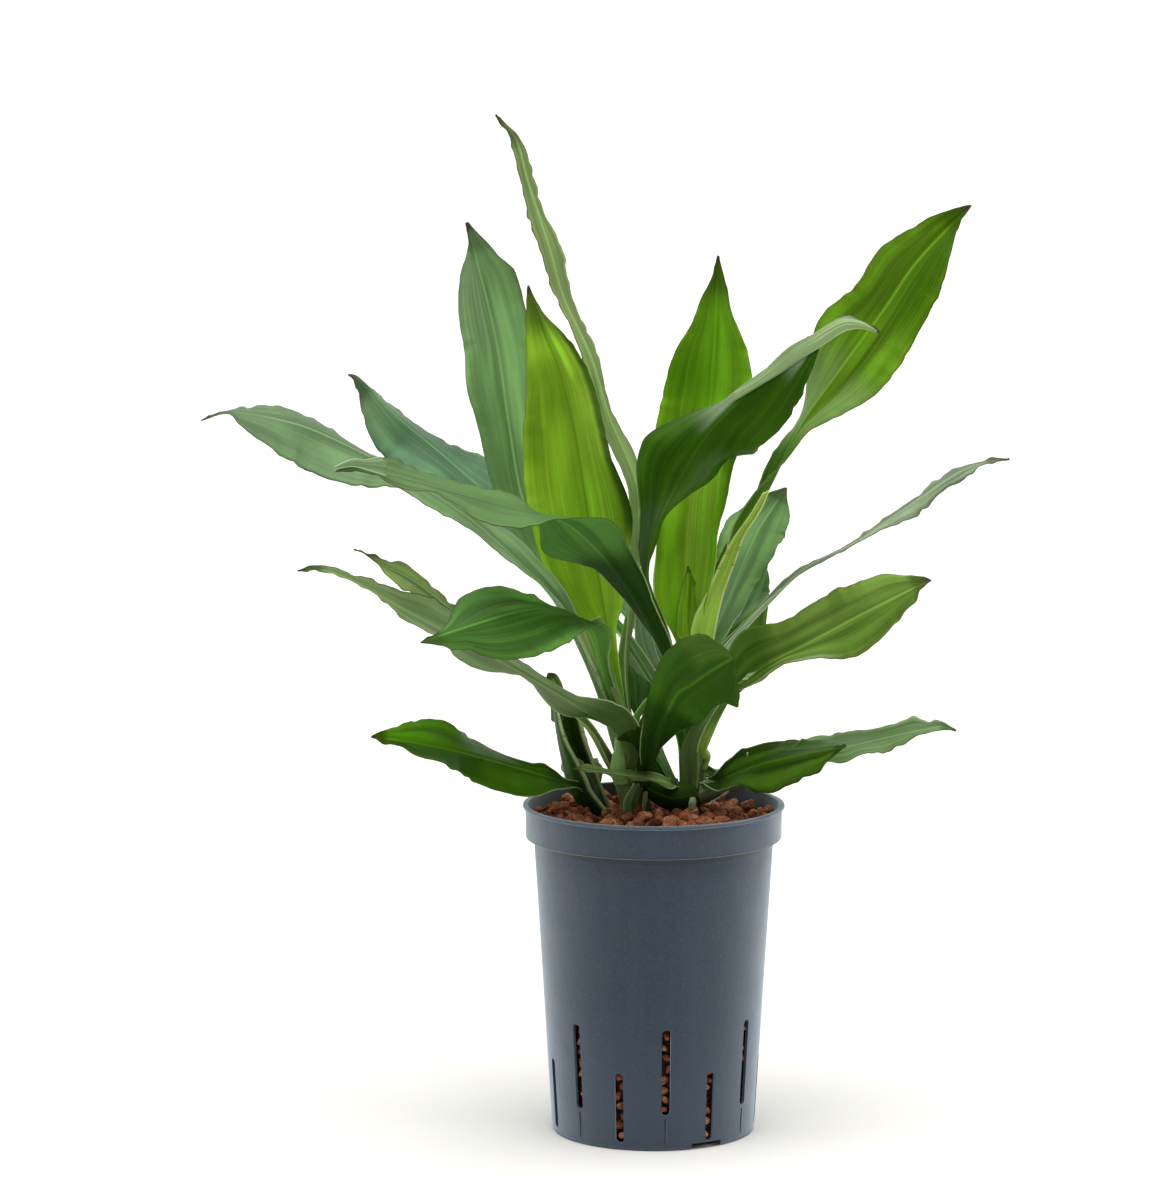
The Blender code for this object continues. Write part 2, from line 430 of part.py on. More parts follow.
def leaf_surface(leaf, s, v):
    """Points of the leaf's upper face at the shares s along it and v across it."""
    curve, out, radius = midrib(leaf)
    centre = along(curve, s)
    tangent = unit(along(curve, s + TANGENT_STEP) - along(curve, s - TANGENT_STEP))
    facing = [(0.0, -out), (SHEATH_SHARE, -out)]
    facing += [(at, unit(np.array(way, float))) for at, way in leaf.face]
    normal = eased(s, facing)
    normal = unit(normal - tangent * np.sum(normal * tangent, axis=1, keepdims=True))
    sideways = np.cross(tangent, normal)
    minus_half, plus_half = half_widths(leaf, s)
    clasp = np.degrees(FOOT_WIDTH / 2 / (radius + FOOT_CLEARANCE))
    neck = leaf.neck * NECK_SHARE
    fold = np.radians(eased(s, [(0, 0), (neck, PETIOLE_FOLD), *leaf.fold]))
    curl = np.radians(eased(s, [(0, clasp), (neck, PETIOLE_CURL), *leaf.curl]))
    onward = np.clip((s - WAVE_START) / (1 - WAVE_START), 0, 1)
    swing = leaf.wave * np.sin(pi * onward) ** WAVE_GROWTH
    points = np.zeros((len(s), len(v), 3))
    steps = (np.arange(CURL_STEPS) + 0.5) / CURL_STEPS
    for j, across in enumerate(v):
        reach = abs(across)
        half = minus_half if across < 0 else plus_half
        bend = fold[:, None] + curl[:, None] * steps * reach
        wide = np.cos(bend).mean(axis=1) * reach * half
        rise = np.sin(bend).mean(axis=1) * reach * half
        offset = 0.0 if across < 0 else WAVE_OFFSET
        ripple = swing * reach ** 2 * np.sin(2 * pi * leaf.waves * s + leaf.phase + offset)
        outward = np.sign(across) * wide
        points[:, j] = centre + sideways * outward[:, None] + normal * (rise + ripple)[:, None]
    return points


def surface_normals(points):
    """Unit normals of a grid of points, on the leaf's upper side."""
    along_leaf = np.gradient(points, axis=0)
    across_leaf = np.gradient(points, axis=1)
    return unit(np.cross(across_leaf, along_leaf))


def leaf_thickness(s, v):
    """Thickness over the grid: thin at the edge, thicker at the midrib and the foot."""
    rib = (1 - np.abs(v)[None, :]) ** 2
    return EDGE_THICKNESS + rib * (MIDRIB_THICKNESS + BASE_THICKNESS * (1 - s[:, None]) ** 2)


def leaf_mesh(leaf):
    """A closed leaf solid, its faces split alike on both sides."""
    s = np.linspace(0, 1, LEAF_STATIONS)
    v = np.array(LEAF_COLUMNS)
    upper = leaf_surface(leaf, s, v)
    lower = upper - surface_normals(upper) * leaf_thickness(s, v)[:, :, None]
    rows, columns = len(s), len(v)
    points = np.concatenate([upper.reshape(-1, 3), lower.reshape(-1, 3)])
    below = rows * columns
    faces = []
    for i in range(rows - 1):
        for j in range(columns - 1):
            a = i * columns + j
            b, c, d = a + 1, a + columns + 1, a + columns
            for corner in ((a, b, c), (a, c, d)):
                faces.append(corner)
                faces.append(tuple(k + below for k in reversed(corner)))
    rim = [i * columns for i in range(rows)]
    rim += [(rows - 1) * columns + j for j in range(1, columns)]
    rim += [i * columns + columns - 1 for i in range(rows - 2, -1, -1)]
    rim += [j for j in range(columns - 2, 0, -1)]
    for a, b in zip(rim, rim[1:] + rim[:1]):
        faces.append((a, b, b + below))
        faces.append((a, b + below, a + below))
    return points, faces


# Blender helpers

def clear_scene():
    for thing in list(bpy.data.objects):
        bpy.data.objects.remove(thing, do_unlink=True)


def material(name, color, roughness, metallic=0.0):
    made = bpy.data.materials.new(name)
    made.use_nodes = True
    shader = made.node_tree.nodes["Principled BSDF"]
    shader.inputs["Base Color"].default_value = (*color, 1.0)
    shader.inputs["Roughness"].default_value = roughness
    shader.inputs["Metallic"].default_value = metallic
    made.diffuse_color = (*color, 1.0)
    return made


def add_object(name, points, faces, finish, smooth_angle=None):
    """A mesh object from points in millimetres."""
    mesh = bpy.data.meshes.new(name)
    mesh.from_pydata([tuple(float(x) * MM for x in point) for point in points], [], faces)
    mesh.materials.append(finish)
    if smooth_angle is not None:
        mesh.shade_smooth()
        mesh.set_sharp_from_angle(angle=radians(smooth_angle))
    thing = bpy.data.objects.new(name, mesh)
    bpy.context.scene.collection.objects.link(thing)
    return thing


def turned(profile, segments):
    """A closed solid turned about Z from (radius, height) points, the first and last on the axis."""
    points = [(0, 0, profile[0][1])]
    for radius, z in profile[1:-1]:
        for k in range(segments):
            angle = 2 * pi * k / segments
            points.append((radius * cos(angle), radius * sin(angle), z))
    points.append((0, 0, profile[-1][1]))
    last = len(points) - 1
    faces = [(0, 1 + k, 1 + (k + 1) % segments) for k in range(segments)]
    for ring in range(len(profile) - 3):
        low = 1 + ring * segments
        high = low + segments
        for k in range(segments):
            n = (k + 1) % segments
            faces.append((low + k, high + k, high + n, low + n))
    top = last - segments
    faces += [(top + k, last, top + (k + 1) % segments) for k in range(segments)]
    return points, faces


def face_outward(thing):
    """Turns a closed mesh's faces outward."""
    shape = bmesh.new()
    shape.from_mesh(thing.data)
    bmesh.ops.recalc_face_normals(shape, faces=shape.faces)
    shape.to_mesh(thing.data)
    shape.free()


def cut_away(thing, cutter):
    cut = thing.modifiers.new(cutter.name, "BOOLEAN")
    cut.operation = "DIFFERENCE"
    cut.solver = "EXACT"
    cut.object = cutter
    cutter.hide_render = True
    cutter.display_type = "WIRE"


# Pot

def outer_radius(z):
    """The outside radius of the tapered wall below the rim band."""
    return BASE_RADIUS + (SHOULDER_RADIUS - BASE_RADIUS) * z / SHOULDER_Z


def inner_radius(z):
    """The inside radius of the pot at a height."""
    if z <= SHOULDER_Z:
        return outer_radius(z) - WALL
    share = min(1.0, (z - SHOULDER_Z) / (BAND_BOTTOM - SHOULDER_Z))
    return SHOULDER_RADIUS - WALL + (BAND_RADIUS - SHOULDER_RADIUS) * share


def prism(outline, base, along_x, along_y, along_z):
    """A prism from an outline drawn along two directions and pushed along a third."""
    low = [base + along_x * a + along_z * b for a, b in outline]
    high = [point + along_y for point in low]
    count = len(outline)
    faces = [tuple(range(count)), tuple(range(2 * count - 1, count - 1, -1))]
    faces += [(k, k + count, (k + 1) % count + count, (k + 1) % count) for k in range(count)]
    return low + high, faces


def slot_outline(bottom, top):
    """A slot with round ends, as points across and up."""
    r = SLOT_WIDTH / 2
    ends = []
    for centre, start in ((top - r, 0.0), (bottom + r, pi)):
        for k in range(SLOT_HEAD_SEGMENTS + 1):
            angle = start + pi * k / SLOT_HEAD_SEGMENTS
            ends.append((r * cos(angle), centre + r * sin(angle)))
    return ends


def radial_cutter(outline, angle, start, reach):
    """A prism cutter that runs outward at an angle from the front, measured towards +X."""
    out = np.array([sin(radians(angle)), -cos(radians(angle)), 0.0])
    across = np.array([cos(radians(angle)), sin(radians(angle)), 0.0])
    return prism(outline, out * start, across, out * reach, np.array([0.0, 0.0, 1.0]))


def build_pot(finish):
    profile = [
        (0, 0),
        (BASE_RADIUS - BASE_ROUNDING, 0),
        (BASE_RADIUS - 0.3 * BASE_ROUNDING, 0.3 * BASE_ROUNDING),
        (outer_radius(BASE_ROUNDING), BASE_ROUNDING),
        (SHOULDER_RADIUS, SHOULDER_Z),
        (BAND_RADIUS, BAND_BOTTOM),
        (BAND_RADIUS, POT_HEIGHT - LIP_HEIGHT),
        (LIP_RADIUS, POT_HEIGHT - LIP_HEIGHT + LIP_STEP),
        (LIP_RADIUS, POT_HEIGHT),
        (BAND_RADIUS - WALL, POT_HEIGHT),
        (inner_radius(BAND_BOTTOM), BAND_BOTTOM + BAND_FILLET),
        (inner_radius(SHOULDER_Z), SHOULDER_Z + BAND_FILLET),
        (inner_radius(FLOOR_THICKNESS), FLOOR_THICKNESS),
        (0, FLOOR_THICKNESS),
    ]
    points, faces = turned(profile, POT_SEGMENTS)
    pot = add_object("pot", points, faces, finish, smooth_angle=POT_SMOOTH_ANGLE)
    face_outward(pot)
    cuts = []
    for k in range(SLOT_COUNT):
        bottom, top = HIGH_SLOT if k % 2 == 0 else LOW_SLOT
        start = outer_radius((bottom + top) / 2) - SLOT_CUT_DEPTH / 2
        angle = FIRST_SLOT_ANGLE + 360.0 * k / SLOT_COUNT
        cuts.append(radial_cutter(slot_outline(bottom, top), angle, start, SLOT_CUT_DEPTH))
    low = FOOT_NOTCH_WIDTH / 2
    high = low - FOOT_NOTCH_SLOPE
    foot = -FOOT_NOTCH_SLOPE
    notch = [(-low, foot), (low, foot), (high, FOOT_NOTCH_HEIGHT), (-high, FOOT_NOTCH_HEIGHT)]
    for k in range(FOOT_NOTCH_COUNT):
        angle = FOOT_NOTCH_ANGLE + 360.0 * k / FOOT_NOTCH_COUNT
        cuts.append(radial_cutter(notch, angle, BASE_RADIUS - FOOT_NOTCH_INSET, FOOT_NOTCH_DEPTH))
    cut_points, cut_faces = [], []
    for points, faces in cuts:
        shift = len(cut_points)
        cut_points += points
        cut_faces += [tuple(i + shift for i in face) for face in faces]
    cutter = add_object("pot_slot_cutter", cut_points, cut_faces, finish)
    face_outward(cutter)
    cut_away(pot, cutter)


# Canes

def cane_tube(cane, grow, bottom, top_rings):
    """Rings of points round a cane, widened by grow, from a bottom height to its tip."""
    heights = [point[2] for point in cane.axis]
    levels = [bottom] + list(np.linspace(heights[0], heights[-1], top_rings))
    rings = []
    for z in levels:
        inside = max(z, heights[0])
        centre, radius = cane_at(cane, inside)
        rings.append([(centre[0] + (radius + grow) * cos(2 * pi * k / CANE_SIDES),
                       centre[1] + (radius + grow) * sin(2 * pi * k / CANE_SIDES), z)
                      for k in range(CANE_SIDES)])
    return rings


def tube_mesh(rings, tip):
    """A closed tube through rings of points, with a flat bottom and a tip."""
    points = [point for ring in rings for point in ring]
    sides = len(rings[0])
    faces = [tuple(range(sides - 1, -1, -1))]
    for i in range(len(rings) - 1):
        for k in range(sides):
            n = (k + 1) % sides
            low, high = i * sides, (i + 1) * sides
            faces.append((low + k, low + n, high + n, high + k))
    points.append(tip)
    top = (len(rings) - 1) * sides
    faces += [(top + k, top + (k + 1) % sides, len(points) - 1) for k in range(sides)]
    return points, faces


def build_cane(cane, finish):
    rings = cane_tube(cane, 0.0, SOIL_TOP - CANE_DEPTH, CANE_RINGS)
    x, y, z = cane.axis[-1]
    points, faces = tube_mesh(rings, (x, y, z + cane.radii[-1]))
    add_object(cane.name, points, faces, finish, smooth_angle=CANE_SMOOTH_ANGLE)


# Clay granules

def chip_relief(x, y, seeds, tilts):
    """Height of the broken clay at a point: tilted chips, each a flat facet round its seed."""
    dx = x - seeds[:, 0]
    dy = y - seeds[:, 1]
    distance = np.hypot(dx, dy)
    nearest, second = np.sort(distance)[:2]
    chip = int(np.argmin(distance))
    slope = tilts[chip, 0] * dx[chip] + tilts[chip, 1] * dy[chip]
    edge = smooth_step((second - nearest) / (CHIP_SLOPE_WIDTH * CHIP_SIZE))
    return CHIP_HEIGHT * (tilts[chip, 2] * edge - 0.5) + slope * edge


def chip_seeds(radius):
    """Chip centres on a jittered hexagonal grid, with a random tilt and height each."""
    rng = np.random.default_rng(CHIP_SEED)
    seeds = []
    rows = int(radius / CHIP_SIZE) + 2
    for i in range(-rows, rows + 1):
        for j in range(-rows, rows + 1):
            x = CHIP_SIZE * (i + 0.5 * (j % 2))
            y = CHIP_SIZE * CHIP_ROW_STEP * j
            seeds.append((x, y))
    seeds = np.array(seeds) + rng.uniform(-CHIP_JITTER, CHIP_JITTER, (len(seeds), 2)) * CHIP_SIZE
    slopes = rng.uniform(-CHIP_TILT, CHIP_TILT, (len(seeds), 2))
    tilts = np.column_stack([slopes, rng.uniform(CHIP_LOWEST, 1.0, len(seeds))])
    return seeds, tilts


def soil_height(x, y, seeds, tilts):
    """Height of the granule bed, a little lower close to each cane."""
    z = SOIL_TOP + chip_relief(x, y, seeds, tilts)
    for cane in CANES.values():
        centre, radius = cane_at(cane, SOIL_TOP)
        far = np.hypot(x - centre[0], y - centre[1]) - radius
        z -= SOIL_DIP_AT_CANES * (1 - smooth_step(far / SOIL_DIP_RADIUS))
    return z


def build_granules(finish):
    """The granule bed: a plug that fills the pot, with a top of broken chips and holes for the canes."""
    seeds, tilts = chip_seeds(LIP_RADIUS)
    rim = inner_radius(SOIL_TOP) - SIDE_GAP
    points = [(0, 0, soil_height(0, 0, seeds, tilts))]
    rings = []
    for ring in range(1, SOIL_RINGS + 1):
        radius = rim * ring / SOIL_RINGS
        count = 6 * ring
        start = len(points)
        for k in range(count):
            angle = 2 * pi * k / count
            x, y = radius * cos(angle), radius * sin(angle)
            points.append((x, y, soil_height(x, y, seeds, tilts)))
        rings.append((start, count))
    faces = [(0, 1 + k, 1 + (k + 1) % 6) for k in range(6)]
    for (low, few), (high, many) in zip(rings, rings[1:]):
        a = b = 0
        while a < few or b < many:
            if b / many <= a / few and b < many:
                faces.append((low + a % few, high + b % many, high + (b + 1) % many))
                b += 1
            else:
                faces.append((low + a % few, high + b % many, low + (a + 1) % few))
                a += 1
    outer, count = rings[-1]
    for z in (BAND_BOTTOM + SOIL_EDGE_DROP, SHOULDER_Z, FLOOR_THICKNESS + TOUCH_GAP):
        start = len(points)
        radius = inner_radius(min(z, SHOULDER_Z)) - SIDE_GAP
        for k in range(count):
            angle = 2 * pi * k / count
            points.append((radius * cos(angle), radius * sin(angle), z))
        for k in range(count):
            n = (k + 1) % count
            faces.append((outer + k, outer + n, start + n, start + k))
        outer = start
    faces.append(tuple(outer + k for k in range(count - 1, -1, -1)))
    bed = add_object("clay_granules", points, faces, finish)
    face_outward(bed)
    for cane in CANES.values():
        rings = cane_tube(cane, CANE_CLEARANCE, SOIL_TOP - CANE_DEPTH - TOUCH_GAP, 2)
        x, y, z = cane.axis[-1]
        hole_points, hole_faces = tube_mesh(rings, (x, y, z + cane.radii[-1]))
        cutter = add_object(cane.name + "_hole_cutter", hole_points, hole_faces, finish)
        face_outward(cutter)
        cut_away(bed, cutter)


def build():
    clear_scene()
    pot_plastic = material("pot_plastic", (0.085, 0.115, 0.15), 0.55)
    clay = material("fired_clay", (0.27, 0.085, 0.04), 0.95)
    bark = material("cane_skin", (0.10, 0.16, 0.04), 0.6)
    leaf_finish = {
        "mature": material("leaf_mature", (0.05, 0.15, 0.015), 0.38),
        "young": material("leaf_young", (0.16, 0.33, 0.02), 0.38),
        "bluish": material("leaf_bluish", (0.07, 0.19, 0.08), 0.35),
    }
    build_pot(pot_plastic)
    build_granules(clay)
    for cane in CANES.values():
        build_cane(cane, bark)
    for leaf in LEAVES:
        points, faces = leaf_mesh(leaf)
        add_object(leaf.name, points, faces, leaf_finish[leaf.tint], smooth_angle=LEAF_SMOOTH_ANGLE)


build()
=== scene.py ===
"""Potted dracaena: glossy wavy leaves, green canes, broken clay granules and a blue-grey culture pot.

The origin is the centre of the pot's base. +X is to the right, +Y is away from the front, +Z is up.
Lengths are in millimetres, and every mesh is made in metres.
"""
from dataclasses import dataclass
from itertools import zip_longest
from math import cos, pi, radians, sin

import bmesh
import bpy
import numpy as np
from mathutils import Matrix, Vector


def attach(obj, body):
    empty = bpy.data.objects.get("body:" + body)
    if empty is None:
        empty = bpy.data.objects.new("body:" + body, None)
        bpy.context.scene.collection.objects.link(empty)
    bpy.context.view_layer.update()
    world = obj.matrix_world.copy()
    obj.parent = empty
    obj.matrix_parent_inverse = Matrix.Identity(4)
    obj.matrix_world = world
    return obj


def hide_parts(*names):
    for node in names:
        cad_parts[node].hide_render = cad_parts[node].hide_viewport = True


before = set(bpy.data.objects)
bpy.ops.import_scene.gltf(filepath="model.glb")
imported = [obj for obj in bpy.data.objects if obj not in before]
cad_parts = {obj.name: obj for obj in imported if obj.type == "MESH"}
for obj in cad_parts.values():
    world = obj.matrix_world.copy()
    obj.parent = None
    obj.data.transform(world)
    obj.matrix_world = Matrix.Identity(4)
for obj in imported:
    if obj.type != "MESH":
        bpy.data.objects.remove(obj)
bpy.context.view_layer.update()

MM = 0.001

# Pot
POT_HEIGHT = 190.0
LIP_RADIUS = 75.0
LIP_HEIGHT = 2.0
BAND_RADIUS = 73.3
BAND_EDGE = 171.0
SHOULDER_RADIUS = 68.0
SHOULDER_Z = 162.0
BASE_RADIUS = 58.2
BASE_ROUNDING = 2.5
BASE_HOLLOW = 1.0
BASE_RING = 8.0
WALL = 1.6
FLOOR_THICKNESS = 2.4
POT_SEGMENTS = 168
POT_SHARP_ANGLE = 32

SLOT_COUNT = 14
SLOT_WIDTH = 5.0
SLOT_HEAD_SEGMENTS = 12
SLOT_CUT_DEPTH = 16.0
HIGH_SLOT = (21.0, 71.0)
LOW_SLOT = (4.5, 45.0)
FIRST_SLOT_ANGLE = 6.0
GROOVE_WIDTH = 1.2
GROOVE_DEPTH = 0.3
GROOVE_BOTTOM = 4.0
GROOVE_GAP = 2.0
GROOVE_REACH = 6.0
FOOT_NOTCH_COUNT = 3
FOOT_NOTCH_ANGLE = 31.0
FOOT_NOTCH_WIDTH = 21.0
FOOT_NOTCH_DEPTH = 9.0
FOOT_NOTCH_HEIGHT = 3.6
FOOT_NOTCH_SLOPE = 1.0
NOTCH_BELOW = 1.0
NOTCH_PAST = 3.0

# Clay granules: the layers are height, step between chips and size
SOIL_TOP = 183.5
CHIP_SEED = 15
CHIP_FORMS = 24
CHIP_LAYERS = ((177.0, 8.6, 5.9), (180.7, 9.8, 6.2), (183.9, 12.8, 5.8))
CHIP_ROW_PITCH = 0.87
CHIP_JITTER = 0.35
CHIP_SIZES = (0.65, 1.25)
CHIP_LEVEL_JITTER = 1.4
CHIP_TILT = 0.5
CHIP_CUTS = (8, 12)
CHIP_CUT_AT = (0.48, 0.80)
CHIP_LUMPS = 0.018
CHIP_DEPTHS = (0.7, 0.95)
CHIP_HEIGHTS = (0.5, 0.8)
CHIP_SHARP_ANGLE = 24
BED_INSET = 4.0
RIM_ROOM = 0.75
CANE_ROOM = 0.55
SLOT_CHIP_START = 1.0
SLOT_CHIP_SIZES = (3.0, 4.6)
SLOT_CHIP_SWING = 2.2
SLOT_CHIP_INSET = (0.5, 0.8)
SLOT_CHIP_RISE = 0.6
SLOT_CHIP_STEP = (1.25, 1.7)
CORE_LEVELS = (FLOOR_THICKNESS + 0.3, 60, 120, SHOULDER_Z - 2)
CORE_GAP = 4.5
CORE_TOP = SOIL_TOP - 6.5
CORE_SHOULDER = [(LIP_RADIUS - 7.0, CORE_TOP - 1.5), (LIP_RADIUS - 10.0, CORE_TOP), (0, CORE_TOP)]
CORE_SEGMENTS = 72
CORE_SHARP_ANGLE = 30

# Canes
CANE_DEPTH = 62.0
CANE_SIDES = 40
CANE_STEP = 0.6
CANE_UNDER = 6.0
CANE_SHARP_ANGLE = 50
CANE_SLIMMING = 0.985
CANE_SWELLING = 0.01
CANE_SWELLS = 3
CANE_TIP_DROP = 1.0
CANE_RING_STEP = 7.0
SCAR_DENT = 0.03
SCAR_WIDTH = 0.5

# Leaf blades. The shares are of the blade's length.
HALF_SHARES = (0.1, 0.18, 0.26, 0.34, 0.42, 0.5, 0.57, 0.64, 0.71, 0.78, 0.84, 0.89, 0.93, 0.96)
LIFT_SHARES = (0.1, 0.2, 0.28, 0.36, 0.44, 0.52, 0.6, 0.67, 0.74, 0.81, 0.87, 0.92, 0.96)
FACE_SHARES = (0.2, 0.35, 0.5, 0.65, 0.8, 1)
FOLD_SHARES = (0.25, 0.4, 0.55, 0.7, 0.85, 1)
LEAF_STATIONS = 150
LEAF_COLUMNS = 27
COLUMN_CROWDING = 0.9
FOOT_CLEARANCE = 0.35
CLASP_LENGTH = 7.0
CLASP_SHARE = 0.12
NECK_SHARE = 0.8
FOOT_WIDTH = 8.4
TIP_WIDTH = 1.2
SHARE_SCALE = 100.0
PETIOLE_FOLD = 38.0
PETIOLE_CURL = 25.0
CURL_STEPS = 12
TANGENT_STEP = 0.004
LIFT_GROWTH = 1.6
FRONT_VIEW = (0.0, 0.990, -0.139)
WAVE_COUNT = 3.0
WAVE_START = 0.25
WAVE_GROWTH = 0.7
WAVE_OFFSET = 1.9
CRINKLE_HEIGHT = 0.8
CRINKLE_LENGTH = 13.0
CRINKLE_BEAT = 47.0
CRINKLE_DRIFT = 19.0
CRINKLE_SWAY = 2.1
CRINKLE_SHIFT = 2.3
OVERTONE_LENGTH = 0.53
OVERTONE_HEIGHT = 0.5
CRINKLE_LEAST = 0.25
CRINKLE_GROWTH = (0.35, 0.5)
CRINKLE_ONSET = (0.12, 0.15)
BEAT_DEPTH = 0.4
EDGE_THICKNESS = 0.35
BLADE_THICKNESS = 0.5
RIB_THICKNESS = 0.9
BASE_THICKNESS = 1.2
MIDRIB_GROOVE = 0.55
MIDRIB_WIDTH = 1.3
GROOVE_ONSET = (0.05, 0.1)
KEEL_WIDTH = 1.2
KEEL_LOSS = 0.7
EDGE_BEVEL = 2.0
FLESHY_SHARE = 0.3
FLESHY_BEVEL = 2.5

# Sheaths
SHEATH_SPAN = 10
SHEATH_COLUMNS = 13
SHEATH_THICKNESS = 0.5
SHEATH_SHARE = 0.2
SHEATH_SEED = 66.6
NO_MARGIN = 9.0
NO_TIP = (1.1, 1.1)

# Leaf finishes, in linear colour. A vein is a noise: its scale across and along the blade, shift,
# detail and roughness. A veil is a noise, where it begins and is full, its strength, and the gain and
# lift that make its colour from the green.
MIDDLE = (0.3, 0.7)
VEINS = {"fine": (26.0, 0.010, 0, 3.0, 0.6), "broad": (2.6, 0.009, 7, 2.0, 0.5),
         "sheen": (1.5, 0.007, 3, 2.0, 0.5)}
CLOUD_SCALE = 17.0
# The sheen veils lay pale patches over the blade: a painted sheen.
TOP_VEILS = [("cloud", 0.38, 0.66, 0.65, 0.50, 0.0), ("sheen", 0.54, 0.70, 0.60, 1.50, 0.045),
             ("fine", 0.46, 0.70, 0.22, 1.6, 0.010)]
BACK_VEILS = [("cloud", 0.38, 0.66, 0.5, 0.62, 0.0), ("sheen", 0.54, 0.70, 0.5, 1.3, 0.05),
              ("fine", 0.45, 0.70, 0.35, 1.4, 0.012)]
RIB_FADE = (1.2, 0.3)
# Painted shade beside the midrib fades out over these widths
FLANK_SHADE_FADE = (5.0, 1.0)
PATCH_SOFT = 0.04
PATCH_SIDE = 0.10
WHOLE_WIDTH = (-1.2, 1.2)
PALE_FOOT_FADE = (0.3, 0.05)
UNDER_ROUGHNESS = 0.60
DRY_ROUGHNESS = 0.8
SCORCH = (0.09, 0.05, 0.02)
DRY_TIP = (0.085, 0.075, 0.040)
EDGE_BROWN = (0.060, 0.045, 0.025)
TONES = {
    "mature": dict(rib=0.55, back=1.35, back_lift=0.002, foot=(0.16, 0.26, 0.05), edge=0.7,
                   pale_edge=(0.50, 0.64, 0.32), glow=(1.1, 1.5, 0.4), gloss=0.40, specular=0.14,
                   through=0.18, sheen=(0.55, 1.0, 0.12), streak=(0.50, 1.55)),
    "young": dict(rib=0.40, back=1.1, back_lift=0.010, foot=(0.38, 0.46, 0.08), edge=0.4,
                  pale_edge=(0.62, 0.72, 0.28), glow=(1.2, 1.5, 0.3), gloss=0.42, specular=0.20,
                  through=0.36, sheen=(0.80, 1.0, 0.20), streak=(0.80, 1.25)),
    "bluish": dict(rib=0.50, back=1.3, back_lift=0.015, foot=(0.18, 0.29, 0.08), edge=0.5,
                   pale_edge=(0.48, 0.62, 0.36), glow=(1.0, 1.4, 0.7), gloss=0.38, specular=0.30,
                   through=0.16, sheen=(0.75, 1.0, 0.75), streak=(0.65, 1.40)),
}

# Other finishes, in linear colour
PLASTIC = (0.003, 0.014, 0.035)
PLASTIC_LIGHT = (0.006, 0.020, 0.044)
# Painted light: the white floor's light reflected on the lower wall
PLASTIC_FLOOR_BOUNCE = (0.030, 0.052, 0.082)
PLASTIC_DUST = (0.045, 0.068, 0.095)
# Painted shade: the dark of the fold under the band, the inside wall and the foot notches
PLASTIC_SHADE = (0.004, 0.006, 0.009)
# Painted highlight along the top of the lip
PLASTIC_LIP_HIGHLIGHT = (0.085, 0.115, 0.150)
PLASTIC_SHEEN = (0.76, 0.89, 1.0, 1.0)
CLAY_DARK = (0.130, 0.040, 0.016)
CLAY_LIGHT = (0.600, 0.250, 0.120)
CLAY_RED = (0.400, 0.120, 0.048)
CLAY_PORE = (0.080, 0.024, 0.012)
CLAY_DUST = (0.640, 0.380, 0.250)
# Painted shade: nearly black clay where the gaps between chips fall into shadow
CLAY_SHADE = (0.020, 0.008, 0.005)
CLAY_SHADE_LIGHT = (0.055, 0.020, 0.012)
CANE_GREEN = (0.025, 0.060, 0.010)
CANE_PALE = (0.060, 0.110, 0.022)
CANE_BROWN = (0.055, 0.038, 0.016)
CANE_SCAR = (0.095, 0.085, 0.042)

# Where the pot's painted light and shade lie: heights and radii in metres, from none to full
FLOOR_BOUNCE_HEIGHTS = (0.095, 0.0)
BAND_SHADE_FROM = (0.1672, 0.1690)
BAND_SHADE_TO = (0.1722, 0.1716)
LIP_HIGHLIGHT = (0.1875, 0.1895)
INSIDE_SHADE_WALL = (0.0726, 0.0718)
INSIDE_SHADE_BAND = (0.1668, 0.1674)
NOTCH_SHADE_HEIGHT = (0.0039, 0.0036)
NOTCH_SHADE_RADIUS = (0.0572, 0.0566)

# Stage
FLOOR_REACH = 60.0
FLOOR_PAPER = (0.83, 0.815, 0.785)
SKY_FRONT = (-0.85, -0.15, 0.12, 1.0)
SKY_TOP = (0.35, 0.9, 0.0, 1.1)
SUN_PLACE = (0.0, -0.35, 2.4)
SUN_ANGLE = 60.0
SUN_STRENGTH = 2.7
SUN_AIM = (0, 0, 0.35)
CAMERA_PLACE = (-0.0448, -2.8, 0.69898)
CAMERA_PITCH = 7.96
SENSOR_HEIGHT = 36.0
CAMERA_LENS = 4963.7 / 1200 * SENSOR_HEIGHT


@dataclass
class Cane:
    """A stem: its centre line above the granules, and its radius along it."""
    name: str
    axis: list
    radii: list


@dataclass
class Leaf:
    """A leaf blade, from its foot on a cane along its midrib to the tip.

    foot is the foot's height, and side the side of the cane that it clasps: 0 front, 90 right, 180
    back. lean is how far it stands off the cane there, and neck the share where the stalk ends.
    route holds the midrib's points. left and right are the widths of the two halves at HALF_SHARES,
    and lift_left and lift_right how far the edges stand off their places at LIFT_SHARES, across the
    midrib as seen from the front; their last zeros are left out. face is the way the upper side
    looks, at the last of face_at, and fold the angle of each half above the flat, at the last of
    fold_at. curl is how much more the halves bend up at the edge, by share, and wave the height of
    the long waves. patches are areas of another colour, mostly painted shade where the blade lies in
    shadow and painted highlight where it catches the light: from and to along the blade, colour,
    strength, and from and to across it unless that is the whole width. A negative rib is a dark
    midrib line, painted shade in its groove. tip holds the shares where the blade turns dark and
    then dry.
    """
    name: str
    cane: str
    foot: float
    side: float
    green: tuple
    route: list
    face: list
    fold: list
    left: list
    right: list
    tint: str = "mature"
    neck: float = 0.2
    lean: float = 2.5
    wave: float = 3.0
    face_at: tuple = FACE_SHARES
    fold_at: tuple = FOLD_SHARES
    curl: tuple = ((0.5, -6.0), (1.0, 0.0))
    lift_left: tuple = ()
    lift_right: tuple = ()
    patches: tuple = ()
    rib: float = None
    tip: tuple = (0.93, 0.985)
    pale_foot: float = 0.10
    lets_light_through: bool = True

    @property
    def seed(self):
        return self.foot * 0.37 + self.side * 0.11


